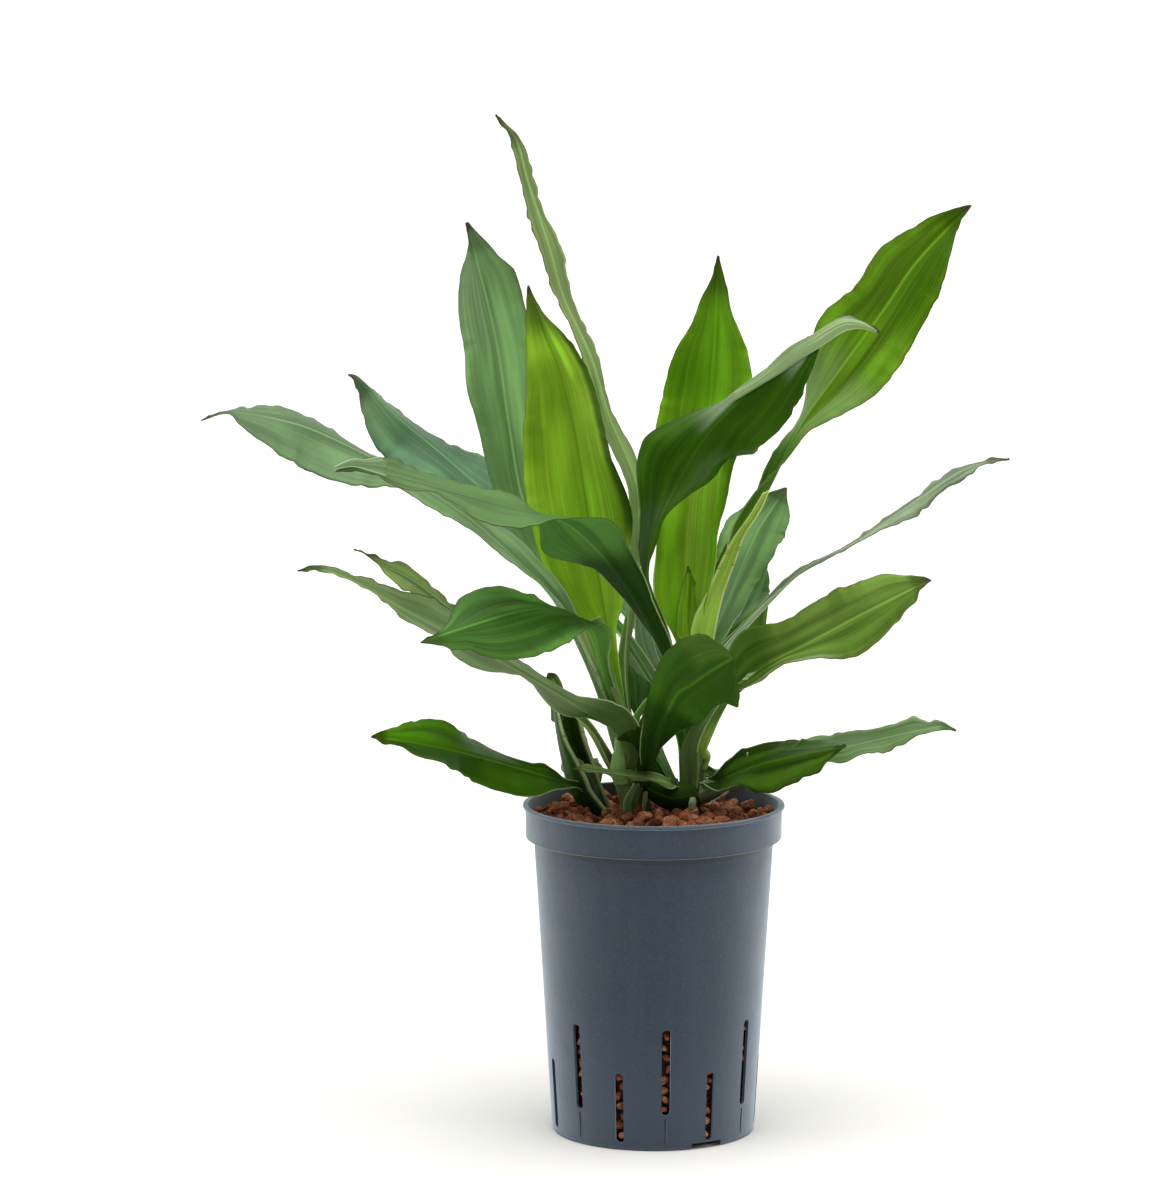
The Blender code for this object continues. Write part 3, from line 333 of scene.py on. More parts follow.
@dataclass
class Sheath:
    """A leaf base round a cane: each row holds its left edge, fold and right edge, from the foot up.

    edging is the width of the pale left and right margins, and bulge how far the halves swell.
    """
    name: str
    green: tuple
    rows: list
    tint: str = "mature"
    edging: tuple = (0, 0)
    rib: float = 0.0
    bulge: float = 0.5
    patches: tuple = ()
    tip: tuple = NO_TIP
    pale_foot: float = 0.0
    lets_light_through: bool = False
    seed: float = SHEATH_SEED


CANES = {
    "middle": Cane("cane_middle", [(-6, 14, 176), (-8, 13, 201), (-11, 12, 228)], [6, 6, 4.5]),
    "right": Cane("cane_right", [(21, 16, 176), (22, 15, 218), (21, 14, 262)], [6.5, 6, 4.5]),
    "side": Cane("cane_side_shoot", [(-31, 14, 175), (-34, 12, 193), (-37, 10, 205)], [4.5, 4, 3.2]),
}

LEAVES = [
    Leaf("leaf_tall_thin", "middle", foot=220, side=126, green=(0.18, 0.26, 0.09), neck=0.3, wave=2,
         route=[(-13, 17, 234), (-16, 20, 251), (-16, 25, 272), (-12, 31, 296), (-9, 38, 325),
                (-9, 44, 348), (-10, 48, 366), (-27, 56, 409), (-36, 60, 439), (-53, 64, 476),
                (-61, 66, 504), (-73, 65, 541), (-80, 62, 566), (-91, 60, 580)],
         face=[(-0.9, 0.4, -0.1), (-0.8, 0.5, -0.4), (-0.9, 0.3, -0.4), (-0.8, 0.5, -0.3),
               (-0.7, 0.6, -0.4)],
         fold=[15, 10, 0, 0, 0],
         left=[4.5, 4.5, 4.5, 6.5, 8.5, 10, 7, 14.5, 16, 16.5, 7.5, 7, 6, 3.5],
         right=[4.5, 4.5, 4.5, 5.5, 7.5, 11.5, 7.5, 8, 10.5, 10, 11, 6, 5, 2.5],
         lift_left=[0, 0, 0, 0, -4.5, 1, 0, 0.5, -0.5, 0.5],
         lift_right=[0, 0, 0, 0, 0, 0, 0, -2, 0, 1]),
    Leaf("leaf_back_left", "right", foot=236, side=230, green=(0.24, 0.43, 0.16), tint="bluish",
         neck=0.25, wave=2,
         route=[(1, 36, 255), (-13, 48, 274), (-38, 62, 302), (-63, 72, 327), (-71, 76, 344),
                (-77, 79, 361), (-84, 84, 402), (-91, 88, 448), (-108, 84, 517)],
         face=[(0.3, -0.7, 0.6), (0, -0.9, 0.4), (0.2, -0.9, 0.2), (0.3, -0.9, 0.1), (0.2, -1, 0.1),
               (0.5, -0.8, 0.1)],
         fold=[20, 15, 15, 15, 25],
         left=[4.5, 4.5, 5, 8, 12, 15.5, 18, 20.5, 24.5, 21.5, 20.5, 17.5, 12, 3.5],
         right=[4.5, 4.5, 5, 8, 12, 16, 19, 21, 21.5, 21.5, 21, 20.5, 13, 8],
         patches=[(0.78, 0.94, (0.28, 0.42, 0.22), 0.6, -1.2, 0),
                  (0.4, 0.72, (0.09, 0.2, 0.06), 0.5, -1.2, -0.1)]),
    Leaf("leaf_bright_upright", "middle", foot=213, side=202, green=(0.39, 0.58, 0.05), tint="young",
         lean=3.2, wave=2, rib=-0.6,
         route=[(-19, 18, 247), (-35, 25, 336), (-46, 26, 403), (-55, 25, 439), (-62, 24, 456),
                (-72, 18, 485)],
         face=[(-0.4, -0.9, 0), (-0.2, -1, 0), (-0.5, -0.9, -0.1), (-0.4, -0.9, -0.1),
               (-0.5, -0.8, -0.3)],
         fold=[20, 20, 30, 30, 15, 15],
         left=[2.5, 3.5, 6, 22, 29, 33.5, 34.5, 32.5, 27.5, 21.5, 18, 12.5, 8.5, 5],
         right=[2.5, 3.5, 5.5, 20.5, 24.5, 30.5, 33, 35, 31.5, 23, 17, 14, 7.5, 3.5],
         patches=[(0.45, 0.9, (0.03, 0.1, 0.008), 0.85, 0.8, 1.2),
                  (0.1, 0.75, (0.36, 0.52, 0.05), 0.5, 0.2, 0.72), (0.9, 1.1, (0.05, 0.14, 0.01), 0.7),
                  (0.2, 0.85, (0.16, 0.32, 0.005), 0.45, -0.9, 0)]),
    Leaf("leaf_arching_left", "right", foot=248, side=-35, green=(0.06, 0.15, 0.03), neck=0.1,
         route=[(4, -12, 283), (-8, -30, 308), (-24, -50, 334), (-48, -72, 360), (-59, -79, 366),
                (-75, -84, 370), (-95, -87, 376), (-114, -88, 381), (-144, -86, 389), (-161, -83, 392),
                (-177, -80, 391)],
         face=[(0.5, 0.6, 0.7), (0.4, 0.6, 0.7), (0.1, 0.7, 0.7), (0.3, -0.1, 1), (0.2, -0.2, 0.9),
               (-0.2, -0.5, 0.8)],
         fold=[0, -5, 0, -15, 0, 15], curl=[(0.5, 0), (1, 0)],
         left=[4.5, 7, 10, 14.5, 18, 23.5, 14.5, 20, 24.5, 15, 15, 7, 2.5, 2.5],
         right=[4.5, 11.5, 8.5, 15.5, 17.5, 24, 16.5, 21, 19.5, 19, 18, 17, 9, 6],
         lift_left=[0, 0, 0, -0.5, 0.5, 1, -0.5, 2, 2, -1, 0.5],
         lift_right=[0, -0.5, 1, -1, 1, 1.5, -1, -4.5, -4.5, -2.5, 0, -0.5],
         patches=[(0.6, 1.1, (0.2, 0.3, 0.15), 0.4), (-0.1, 0.42, (0.008, 0.035, 0.002), 0.85)]),
    Leaf("leaf_far_left", "middle", foot=208, side=262, green=(0.16, 0.28, 0.11), tint="bluish",
         neck=0.15, lean=3.5,
         route=[(-31, 8, 254), (-53, 9, 301), (-62, 8, 314), (-72, 6, 324), (-105, -2, 355),
                (-144, -12, 382), (-189, -20, 406), (-205, -23, 412), (-233, -27, 418),
                (-243, -29, 418), (-255, -30, 414)],
         face=[(0.7, -0.2, 0.6), (0.7, -0.2, 0.7), (0.5, -0.1, 0.8), (0.5, -0.5, 0.7), (-0.2, -0.3, 0.9)],
         fold=[30, 15, 0, -15, -20, -5],
         left=[4.5, 2.5, 7, 11, 15, 19.5, 18, 15.5, 30, 29.5, 25, 17, 11.5, 5.5],
         right=[4.5, 5.5, 7.5, 11, 18, 17.5, 16, 21.5, 25, 26, 22, 16.5, 10, 5.5],
         lift_left=[0, 0.5, -0.5, 2, 4, -2.5, -0.5, 0, 0.5, -0.5, 0, 0.5, -2.5],
         lift_right=[0, 0, 0, 0.5, -1.5, -1.5, 1.5, 0, 3, 0.5, -2.5, 0.5, 2],
         patches=[(0.88, 1.1, (0.12, 0.2, 0.09), 0.5)]),
    Leaf("leaf_back_left_spreading", "right", foot=230, side=207, green=(0.1, 0.22, 0.1), tint="bluish",
         route=[(9, 44, 249), (-1, 60, 270), (-25, 90, 298), (-63, 120, 327), (-103, 142, 357),
                (-132, 152, 381), (-150, 153, 396), (-175, 149, 421), (-180, 148, 423)],
         face=[(0.3, -0.6, 0.8), (0.3, -0.5, 0.8), (0.3, -0.5, 0.8), (0.3, -0.6, 0.8), (0.5, -0.5, 0.7),
               (0.6, -0.6, 0.5)],
         fold=[30, 20, 15, 10, -20, -30],
         left=[4.5, 5, 6.5, 10, 14, 19, 26, 30, 31, 28, 27, 21, 14, 8],
         right=[4.5, 5, 6.5, 10, 14, 19, 22, 24, 21, 19, 19, 15.5, 9.5, 6],
         lift_left=[0, 0, 0, 0, 0, 0, 0, 0, 0, 0, 1, 0, -0.5],
         lift_right=[0, 0, 0, 0, 0, 0, 0, 0, 0.5, -0.5, 1, 2, 1.5],
         patches=[(0.88, 1.1, (0.2, 0.32, 0.16), 0.7)]),
    Leaf("leaf_centre_upright", "right", foot=256, side=172, green=(0.25, 0.46, 0.018), tint="young",
         neck=0.08, wave=2,
         route=[(23, 20, 281), (26, 29, 350), (32, 33, 413), (35, 29, 459), (36, 20, 502)],
         face=[(-0.1, -1, 0.2), (-0.4, -0.9, 0.2), (-0.6, -0.8, 0.1), (-0.5, -0.9, 0), (-0.2, -1, -0.1),
               (-0.2, -1, -0.2)],
         fold=[5, 30, 30, 15, 20, 30],
         left=[13, 21, 24, 23.5, 23, 28.5, 31, 29, 25.5, 21, 14, 10.5, 5.5, 2.5],
         right=[5.5, 7.5, 10.5, 16.5, 25.5, 32, 36, 32.5, 28, 21, 14, 9, 6.5, 4.5],
         lift_left=[0, 2, 0, 0, 0, 0, 0, 0, 0, 0, -0.5],
         lift_right=[0, 0, -0.5, 0.5, 0, 0, 0, 0, 0, -0.5, 0.5, -0.5],
         patches=[(0.9, 1.1, (0.04, 0.13, 0.01), 0.8), (0.66, 0.9, (0.06, 0.24, 0.005), 0.4),
                  (0.1, 0.55, (0.4, 0.56, 0.08), 0.5, -0.3, 0.6)]),
    Leaf("leaf_arching_right", "right", foot=252, side=-96, green=(0.05, 0.14, 0.006), neck=0.1,
         route=[(6, 2, 282), (0, -2, 296), (-3, -5, 311), (-4, -8, 325), (-1, -12, 341), (3, -15, 355),
                (28, -24, 403), (46, -30, 424), (83, -38, 456), (97, -40, 466), (108, -40, 470),
                (125, -40, 464)],
         face=[(1, -0.2, 0.1), (0.9, -0.3, -0.3), (0.3, -0.9, -0.3), (-0.6, -0.7, 0.3),
               (-0.6, -0.4, 0.7), (0.4, -0.2, 0.9)],
         fold=[5, 0, -15, -15, 0, 15], curl=[(0.3, -10), (0.6, -60), (1, -10)],
         left=[4.5, 7.5, 8, 20.5, 24.5, 29.5, 21.5, 26.5, 24, 21, 16.5, 12, 8, 5.5],
         right=[4.5, 8.5, 7, 16, 28.5, 35.5, 37.5, 31.5, 29, 23.5, 13.5, 4, 8, 5],
         lift_left=[0, 0.5, -0.5, 1, -1.5, 1, 2, -0.5, 0, -1, -1, 0.5, 0.5],
         lift_right=[0, -0.5, 1.5, 2, 2.5, -3.5, 2.5, -0.5, 0.5, 0, 0.5, 0, -1.5],
         patches=[(0.44, 0.9, (0.012, 0.055, 0.002), 0.6),
                  (0.2, 0.5, (0.06, 0.14, 0.01), 0.45, 0.1, 0.8),
                  (0.15, 0.46, (0.015, 0.06, 0.002), 0.85, -1.2, -0.35),
                  (0.6, 0.8, (0.28, 0.36, 0.22), 0.8, -1.2, -0.12),
                  (0.8, 1.1, (0.28, 0.36, 0.22), 0.85, -1.2, 0.55)]),
    Leaf("leaf_high_right", "right", foot=244, side=105, green=(0.12, 0.26, 0.01), neck=0.4,
         route=[(29, 18, 276), (35, 26, 304), (46, 38, 334), (62, 47, 359), (85, 56, 402),
                (105, 60, 430), (133, 62, 468), (151, 60, 495), (182, 54, 529)],
         face=[(-0.5, -0.7, 0.4), (-0.8, 0.3, 0.5), (-0.8, -0.4, 0.5), (-0.5, -0.8, 0.4),
               (-0.5, -0.8, 0.3), (-0.5, -0.8, 0.3)],
         fold=[25, -15, 0, 0, 25],
         left=[4.5, 5, 5.5, 5.5, 7, 11, 20.5, 26.5, 31, 24.5, 25, 18.5, 14, 9],
         right=[4.5, 5, 5.5, 6, 7.5, 7, 19.5, 29, 30.5, 26.5, 24.5, 20, 13.5, 6.5],
         lift_left=[0, 0, 0, 0, 0, 0, 0.5, 2, -1.5, 0, 0.5, -0.5, -0.5],
         lift_right=[0, 0, 0, 0, 0.5, 1.5, 0.5, -1.5, 0, 0.5],
         patches=[(0.28, 0.5, (0.03, 0.1, 0.01), 0.75), (0.5, 0.66, (0.25, 0.38, 0.12), 0.5, -1.2, 0),
                  (0.5, 0.64, (0.26, 0.38, 0.14), 0.6, 0.35, 1.2),
                  (0.75, 0.98, (0.06, 0.18, 0.005), 0.5, 0.1, 1.2)]),
    Leaf("leaf_back_right", "right", foot=238, side=160, green=(0.09, 0.2, 0.04), tint="bluish",
         neck=0.12,
         route=[(29, 34, 265), (45, 71, 300), (63, 114, 333), (71, 124, 344), (80, 130, 357)],
         face=[(-0.3, -0.7, 0.7), (-0.3, -0.6, 0.8), (-0.5, -0.4, 0.8), (-0.5, -0.4, 0.8),
               (-0.3, -0.5, 0.8), (-0.2, -0.8, 0.5)],
         fold=[25, 15, 0, 5, 10, 0],
         left=[4.5, 6, 8.5, 12, 14, 15.5, 21, 21.5, 20.5, 20.5, 21, 15, 10.5, 6.5],
         right=[4.5, 6, 13, 14.5, 15.5, 14, 18.5, 24.5, 23, 19.5, 18.5, 15.5, 11, 6],
         patches=[(0.2, 0.7, (0.05, 0.14, 0.05), 0.5, -1.2, 0)]),
    Leaf("leaf_slim_right", "right", foot=232, side=92, green=(0.27, 0.34, 0.22), neck=0.25, wave=2,
         route=[(36, 18, 267), (67, 31, 303), (87, 36, 321), (119, 42, 337), (131, 44, 345),
                (157, 46, 363), (180, 45, 378), (197, 43, 383), (205, 42, 384)],
         face=[(-0.8, -0.2, 0.6), (-0.6, -0.2, 0.8), (-0.4, -0.1, 0.9), (-0.6, -0.1, 0.8),
               (-0.5, -0.3, 0.8), (-0.2, -0.2, 1)],
         fold=[15, 0, -5, -10, -5],
         left=[4.5, 4.5, 3, 3, 3, 4, 5.5, 10, 8.5, 6, 10.5, 9.5, 6.5, 4],
         right=[4.5, 4.5, 3, 3, 3.5, 4, 6, 11, 14.5, 10, 6, 8, 5.5, 3.5],
         lift_left=[0, 0, 0, 0, -1, -0.5, 2, 0.5, -2, 0, 1, 0, 1],
         lift_right=[0, 0, 0, 0, 0, 0.5, 0, -1, -1, 1, -1]),
    Leaf("leaf_back_right_short", "right", foot=224, side=135, green=(0.15, 0.32, 0.05), neck=0.15,
         tip=NO_TIP,
         route=[(36, 32, 253), (40, 49, 274), (58, 86, 294), (64, 101, 302), (68, 112, 312)],
         face=[(-0.4, -0.7, 0.5), (-0.2, -0.7, 0.7), (-0.2, -0.4, 0.9), (-0.6, -0.1, 0.8),
               (-0.6, -0.1, 0.8), (-0.8, -0.3, 0.6)],
         fold=[30, 5, 0, 0, 5, 15],
         left=[4.5, 5.5, 7.5, 12.5, 16, 11, 13.5, 21, 13, 8.5, 11.5, 12.5, 9, 5.5],
         right=[4.5, 5.5, 8, 19.5, 23, 21.5, 22.5, 25.5, 19, 12.5, 9, 8.5, 7.5, 5],
         lift_left=[0, 0, 0, 0, -0.5, -2, 0.5],
         lift_right=[0, 0, 0, -3, 0, 0.5]),
    Leaf("leaf_middle_right", "right", foot=208, side=72, green=(0.15, 0.25, 0.04), neck=0.22,
         route=[(28, 4, 220), (33, -1, 234), (39, -7, 247), (45, -11, 257), (60, -18, 271),
                (85, -27, 286), (121, -35, 307), (155, -34, 324)],
         face=[(-0.9, 0.1, 0.4), (-0.7, -0.4, 0.5), (-0.6, -0.5, 0.7), (-0.5, -0.6, 0.6),
               (-0.4, -0.7, 0.6), (-0.3, -0.6, 0.7)],
         fold=[30, 20, 30, 0, 5, 15],
         left=[4.5, 4.5, 5.5, 15.5, 24.5, 21.5, 21, 23.5, 24, 20.5, 19.5, 18, 13, 7.5],
         right=[4.5, 4.5, 5.5, 11, 15, 12.5, 22, 20.5, 25, 22.5, 18, 14, 12, 5.5],
         lift_left=[0, 0, 0, 1.5, 0.5, 0, 0, 0.5, 0, -0.5, 0.5, -0.5],
         lift_right=[0, 0, 0, -1, 0, 0.5, 0, -1, 0, 0.5],
         patches=[(0.2, 0.48, (0.025, 0.09, 0.002), 0.65),
                  (0.42, 0.66, (0.3, 0.38, 0.2), 0.7, 0.82, 1.2),
                  (0.55, 0.95, (0.05, 0.13, 0.005), 0.45, 0.15, 0.85)]),
    Leaf("leaf_front_centre", "middle", foot=200, side=27, green=(0.02, 0.07, 0.004), neck=0.08,
         tip=NO_TIP,
         face_at=(0.3, 0.45, 0.65, 1),
         fold_at=(0.5, 1),
         route=[(-1, -12, 217), (4, -46, 243), (8, -58, 255), (13, -68, 265), (21, -78, 272),
                (29, -90, 280), (36, -100, 286), (42, -108, 291)],
         face=[(0.1, 0.7, 0.65), (0.25, 0.7, 0.65), (0.55, 0.75, 0.35), (0.65, 0.65, 0.4)],
         fold=[8, 4],
         left=[4.5, 6, 3.5, 7.5, 9.5, 14, 18, 20, 19, 20.5, 24, 20, 14, 8],
         right=[4.5, 8, 10.5, 10.5, 11.5, 12.5, 15, 19.5, 23.5, 24, 23.5, 21.5, 18.5, 13.5],
         lift_left=[-1.5, -0.5, 0, -0.5, -3.5, -1.5, 0, -0.5, 1.5, -0.5, -2, -2.5],
         lift_right=[0, 0, 0, 0, -0.5, 0, 0, 0, -0.5, 0, 0, 0, 0.5],
         patches=[(-0.1, 0.55, (0.006, 0.03, 0.002), 0.75),
                  (0.82, 1.1, (0.1, 0.17, 0.03), 0.5, 0.2, 1.2)]),
    Leaf("leaf_front_left", "middle", foot=204, side=-26, green=(0.09, 0.23, 0.04), neck=0.22, wave=4,
         route=[(-20, -4, 241), (-26, -10, 255), (-31, -20, 275), (-35, -32, 290), (-41, -46, 303),
                (-51, -65, 310), (-64, -79, 314), (-78, -93, 314), (-100, -111, 310), (-129, -130, 303)],
         face=[(0.8, 0.5, 0.4), (0.5, 0.1, 0.9), (0.4, -0.1, 0.9), (0.3, -0.5, 0.8), (0.1, -0.5, 0.9)],
         fold=[45, 25, 0, -5, -20, -30],
         left=[3, 3, 5, 6, 11, 12, 16, 28, 34, 30.5, 23.5, 13.5, 9.5, 5],
         right=[4.5, 5, 5, 5.5, 8, 18.5, 13.5, 14, 29, 30, 24, 14, 5.5, 2],
         lift_left=[0, 0, 0, 0, 0, -1.5, 0, -0.5, 1, 0, 0.5, -0.5, 0.5],
         lift_right=[0, 0, 0, -0.5, 2.5, -0.5, 2, 0, 0.5, -1, 0.5],
         patches=[(0.45, 0.8, (0.012, 0.06, 0.002), 0.5, -0.9, 0.1)]),
    Leaf("leaf_lower_left", "middle", foot=198, side=-62, green=(0.13, 0.2, 0.08), neck=0.12, lean=4.5,
         route=[(-14, -1, 220), (-20, -7, 232), (-29, -13, 242), (-38, -20, 247), (-62, -33, 264),
                (-87, -42, 280), (-138, -52, 309), (-176, -53, 330), (-187, -53, 333), (-200, -53, 332)],
         face=[(0.3, 0.6, 0.8), (0.4, 0.4, 0.8), (0.3, 0.6, 0.8), (0.4, 0.6, 0.7), (-0.1, 0.5, 0.9)],
         fold=[15, 0, 0, 15, 15, 0],
         left=[5.5, 13, 16.5, 9, 11.5, 21.5, 25.5, 18.5, 16, 8, 7.5, 5.5, 5.5, 3.5],
         right=[5, 6.5, 13.5, 22.5, 13.5, 24, 28, 21.5, 17, 8, 8, 7.5, 6, 4],
         lift_left=[-3.5, -1.5, 0.5, 2, 2.5, -0.5, -0.5, 0, 0, 0, 0, 0, -0.5],
         lift_right=[0, 5.5, 8, -2.5, -4, 0.5, 0, 2.5, 2, -2.5, -1.5, 0.5, 1],
         patches=[(-0.1, 0.28, (0.04, 0.1, 0.01), 0.7)]),
    Leaf("leaf_thread_tip_left", "middle", foot=191, side=-115, green=(0.22, 0.31, 0.09), neck=0.3,
         lean=4.5,
         route=[(-25, 10, 211), (-38, 3, 234), (-56, -5, 252), (-105, -14, 296), (-136, -16, 321),
                (-151, -16, 329), (-164, -14, 337), (-170, -13, 339)],
         face=[(0.7, -0.4, 0.6), (0.7, -0.2, 0.7), (0.7, -0.1, 0.7), (0.6, -0.2, 0.8), (0.4, -0.2, 0.9)],
         fold=[5, 0, 0, 0, 0],
         left=[5.5, 5, 4.5, 5.5, 7.5, 12, 8.5, 17, 19.5, 19, 18.5, 10, 2.5, 1.5],
         right=[4.5, 3.5, 3, 2, 6.5, 8.5, 9, 6.5, 9, 12.5, 12.5, 10.5, 4, 1],
         lift_left=[0, 0.5, 1.5, 1, 2, -0.5, -0.5, 1, 3.5, 1.5, 0.5],
         lift_right=[0, 0, 0, 0.5, -0.5, -1.5, 1.5, 2, -0.5, -2.5, -3, 0, 0.5]),
    Leaf("leaf_bottom_left", "side", foot=189, side=-70, green=(0.08, 0.22, 0.007), neck=0.12, lean=3.5,
         wave=2.5,
         route=[(-49, -5, 202), (-110, -42, 227), (-143, -57, 236), (-159, -60, 239)],
         face=[(0.6, -0.4, 0.7), (0.6, -0.4, 0.7), (0.5, -0.4, 0.7), (0.4, -0.5, 0.8), (0.2, -0.5, 0.8)],
         fold=[0, -15, -15, 5, 15, 15],
         left=[4, 8.5, 11.5, 17.5, 20, 18.5, 15.5, 16.5, 19.5, 16.5, 15.5, 5.5, 5.5, 5],
         right=[4.5, 3, 9.5, 7, 13, 24.5, 25, 17.5, 21, 19.5, 15.5, 10.5, 7, 4],
         patches=[(-0.1, 0.26, (0.012, 0.05, 0.006), 0.6),
                  (0.55, 0.9, (0.012, 0.07, 0.002), 0.5, -0.9, 0)]),
    Leaf("leaf_bottom_right", "right", foot=191, side=48, green=(0.03, 0.08, 0.003), neck=0.14, wave=1.5,
         route=[(39, -10, 206), (59, -37, 219), (86, -66, 231), (105, -80, 237)],
         face=[(-0.9, -0.3, 0.4), (-0.8, -0.3, 0.6), (-0.7, -0.3, 0.7), (-0.7, -0.3, 0.7),
               (-0.5, -0.2, 0.8), (-0.5, -0.3, 0.8)],
         fold=[5, 10, -5, -15, -15, -15],
         left=[3, 4, 10, 14.5, 13.5, 18, 19.5, 19, 17.5, 17, 15, 11.5, 8, 4],
         right=[4.5, 6.5, 10, 13, 13, 17, 21, 22.5, 21, 19.5, 17.5, 16, 11.5, 5.5],
         patches=[(-0.1, 0.26, (0.01, 0.035, 0.006), 0.8)]),
    Leaf("leaf_bottom_right_back", "right", foot=197, side=118, green=(0.16, 0.27, 0.1), neck=0.22,
         route=[(47, 24, 202), (85, 34, 211), (113, 36, 217), (134, 36, 222), (157, 31, 228),
                (167, 29, 230), (175, 28, 228)],
         face=[(-0.1, -0.4, 0.9), (-0.2, -0.3, 0.9), (-0.2, -0.3, 0.9), (-0.2, -0.2, 1),
               (-0.3, -0.2, 0.9), (0.2, -0.3, 0.9)],
         fold=[30, 5, 0, 0, 0, 0],
         left=[4.5, 4.5, 6, 8.5, 12.5, 18.5, 19, 20, 14.5, 15, 19, 13.5, 9, 5],
         right=[4.5, 4.5, 5.5, 8.5, 11.5, 9, 17.5, 17, 20.5, 13, 6, 6.5, 7.5, 4.5],
         lift_left=[0, 0, 0, 0, 0, 2, 4.5, 1, -1, 0.5, 0, 0.5],
         lift_right=[0, 0, 0, 0, 0, 0.5, -1.5, -2, -0.5, 0, 0.5, 0, -0.5]),
    Leaf("leaf_small_front", "right", foot=189, side=-60, green=(0.2, 0.31, 0.09), wave=1,
         route=[(6, -6, 204), (-21, -21, 211), (-46, -30, 216)],
         face=[(0.6, 0, 0.8), (0.2, -0.1, 1), (0.2, -0.2, 1), (0.2, -0.1, 1), (0.3, -0.3, 0.9)],
         fold=[15, -10, 0, 0, 15, 15],
         left=[4.5, 4.5, 5, 10, 4.5, 5.5, 5, 6, 11, 9, 8.5, 6.5, 5.5, 4.5],
         right=[4.5, 4.5, 3.5, 6.5, 10, 11, 9.5, 5, 6, 7, 6, 5, 3, 1.5],
         lift_left=[0, 0, 0, 0, 0.5, 0, 0, -0.5, 1, 1],
         lift_right=[0, 0.5, 0.5, -0.5, -2.5, -1]),
    Leaf("leaf_side_shoot_outer", "side", foot=197, side=-128, green=(0.05, 0.11, 0.02), wave=1,
         route=[(-48, 12, 212), (-54, 20, 238), (-55, 27, 254), (-60, 30, 261)],
         face=[(0.6, 0.7, 0.3), (0.8, 0.5, 0.2), (0.9, 0.4, 0), (0.9, 0.4, 0), (0.7, 0.7, -0.1)],
         fold=[0, -10, 0, 0, -5, -15],
         left=[3, 3, 3, 3, 3.5, 4, 5, 15.5, 11.5, 8.5, 7.5, 6, 5, 3.5],
         right=[3, 3, 3, 3, 3, 4, 4.5, 13, 12, 10, 8.5, 7.5, 6.5, 5.5],
         lift_left=[0, -6.5, -2.5, 0.5, -0.5, 0, -0.5],
         lift_right=[0, 9, 3, -0.5, -0.5]),
    Leaf("leaf_side_shoot_inner", "side", foot=200, side=120, green=(0.14, 0.22, 0.07), wave=1,
         route=[(-36, 16, 212), (-44, 24, 234), (-50, 29, 249)],
         face=[(0.7, 0.7, 0.2), (0.9, 0.5, 0), (0.9, 0.4, 0.1), (0.9, 0.5, 0.1), (0.8, 0.6, 0.1)],
         fold=[25, -10, 0, 0, 0, 0],
         left=[3, 3, 3, 3, 4, 5, 6, 6, 7, 6, 7, 5.5, 4, 2.5],
         right=[3, 3, 3, 3, 4, 5, 6, 6, 13, 8.5, 6.5, 5.5, 4.5, 2.5],
         lift_left=[0, -6.5, 4, 0.5, 0, 0, 0.5, 0.5],
         lift_right=[0, 1, 7, 0.5, 0, 0, 0.5, 0.5]),
    Leaf("leaf_young_spear", "right", foot=262, side=16, green=(0.18, 0.36, 0.011), tint="young",
         neck=0.05, wave=0,
         route=[(19, 12, 291), (20, 12, 325)],
         face=[(0.7, -0.6, 0.4), (0.8, -0.6, 0), (0.7, -0.7, -0.1), (0.6, -0.8, -0.1), (0.6, -0.8, -0.1)],
         fold=[25, 5, 15, 30, 15, 15],
         left=[5, 6.5, 8, 8.5, 11.5, 12.5, 12.5, 12.5, 11, 7.5, 5, 3.5, 2.5, 2],
         right=[5, 6.5, 8, 8, 4, 5, 6, 6, 5.5, 5, 4.5, 3, 2, 1.5],
         lift_left=[0, 0, 0, 0, 0, 0.5, 0, 1.5, 0.5],
         lift_right=[0, 0, 0, 2.5, 0.5]),
]

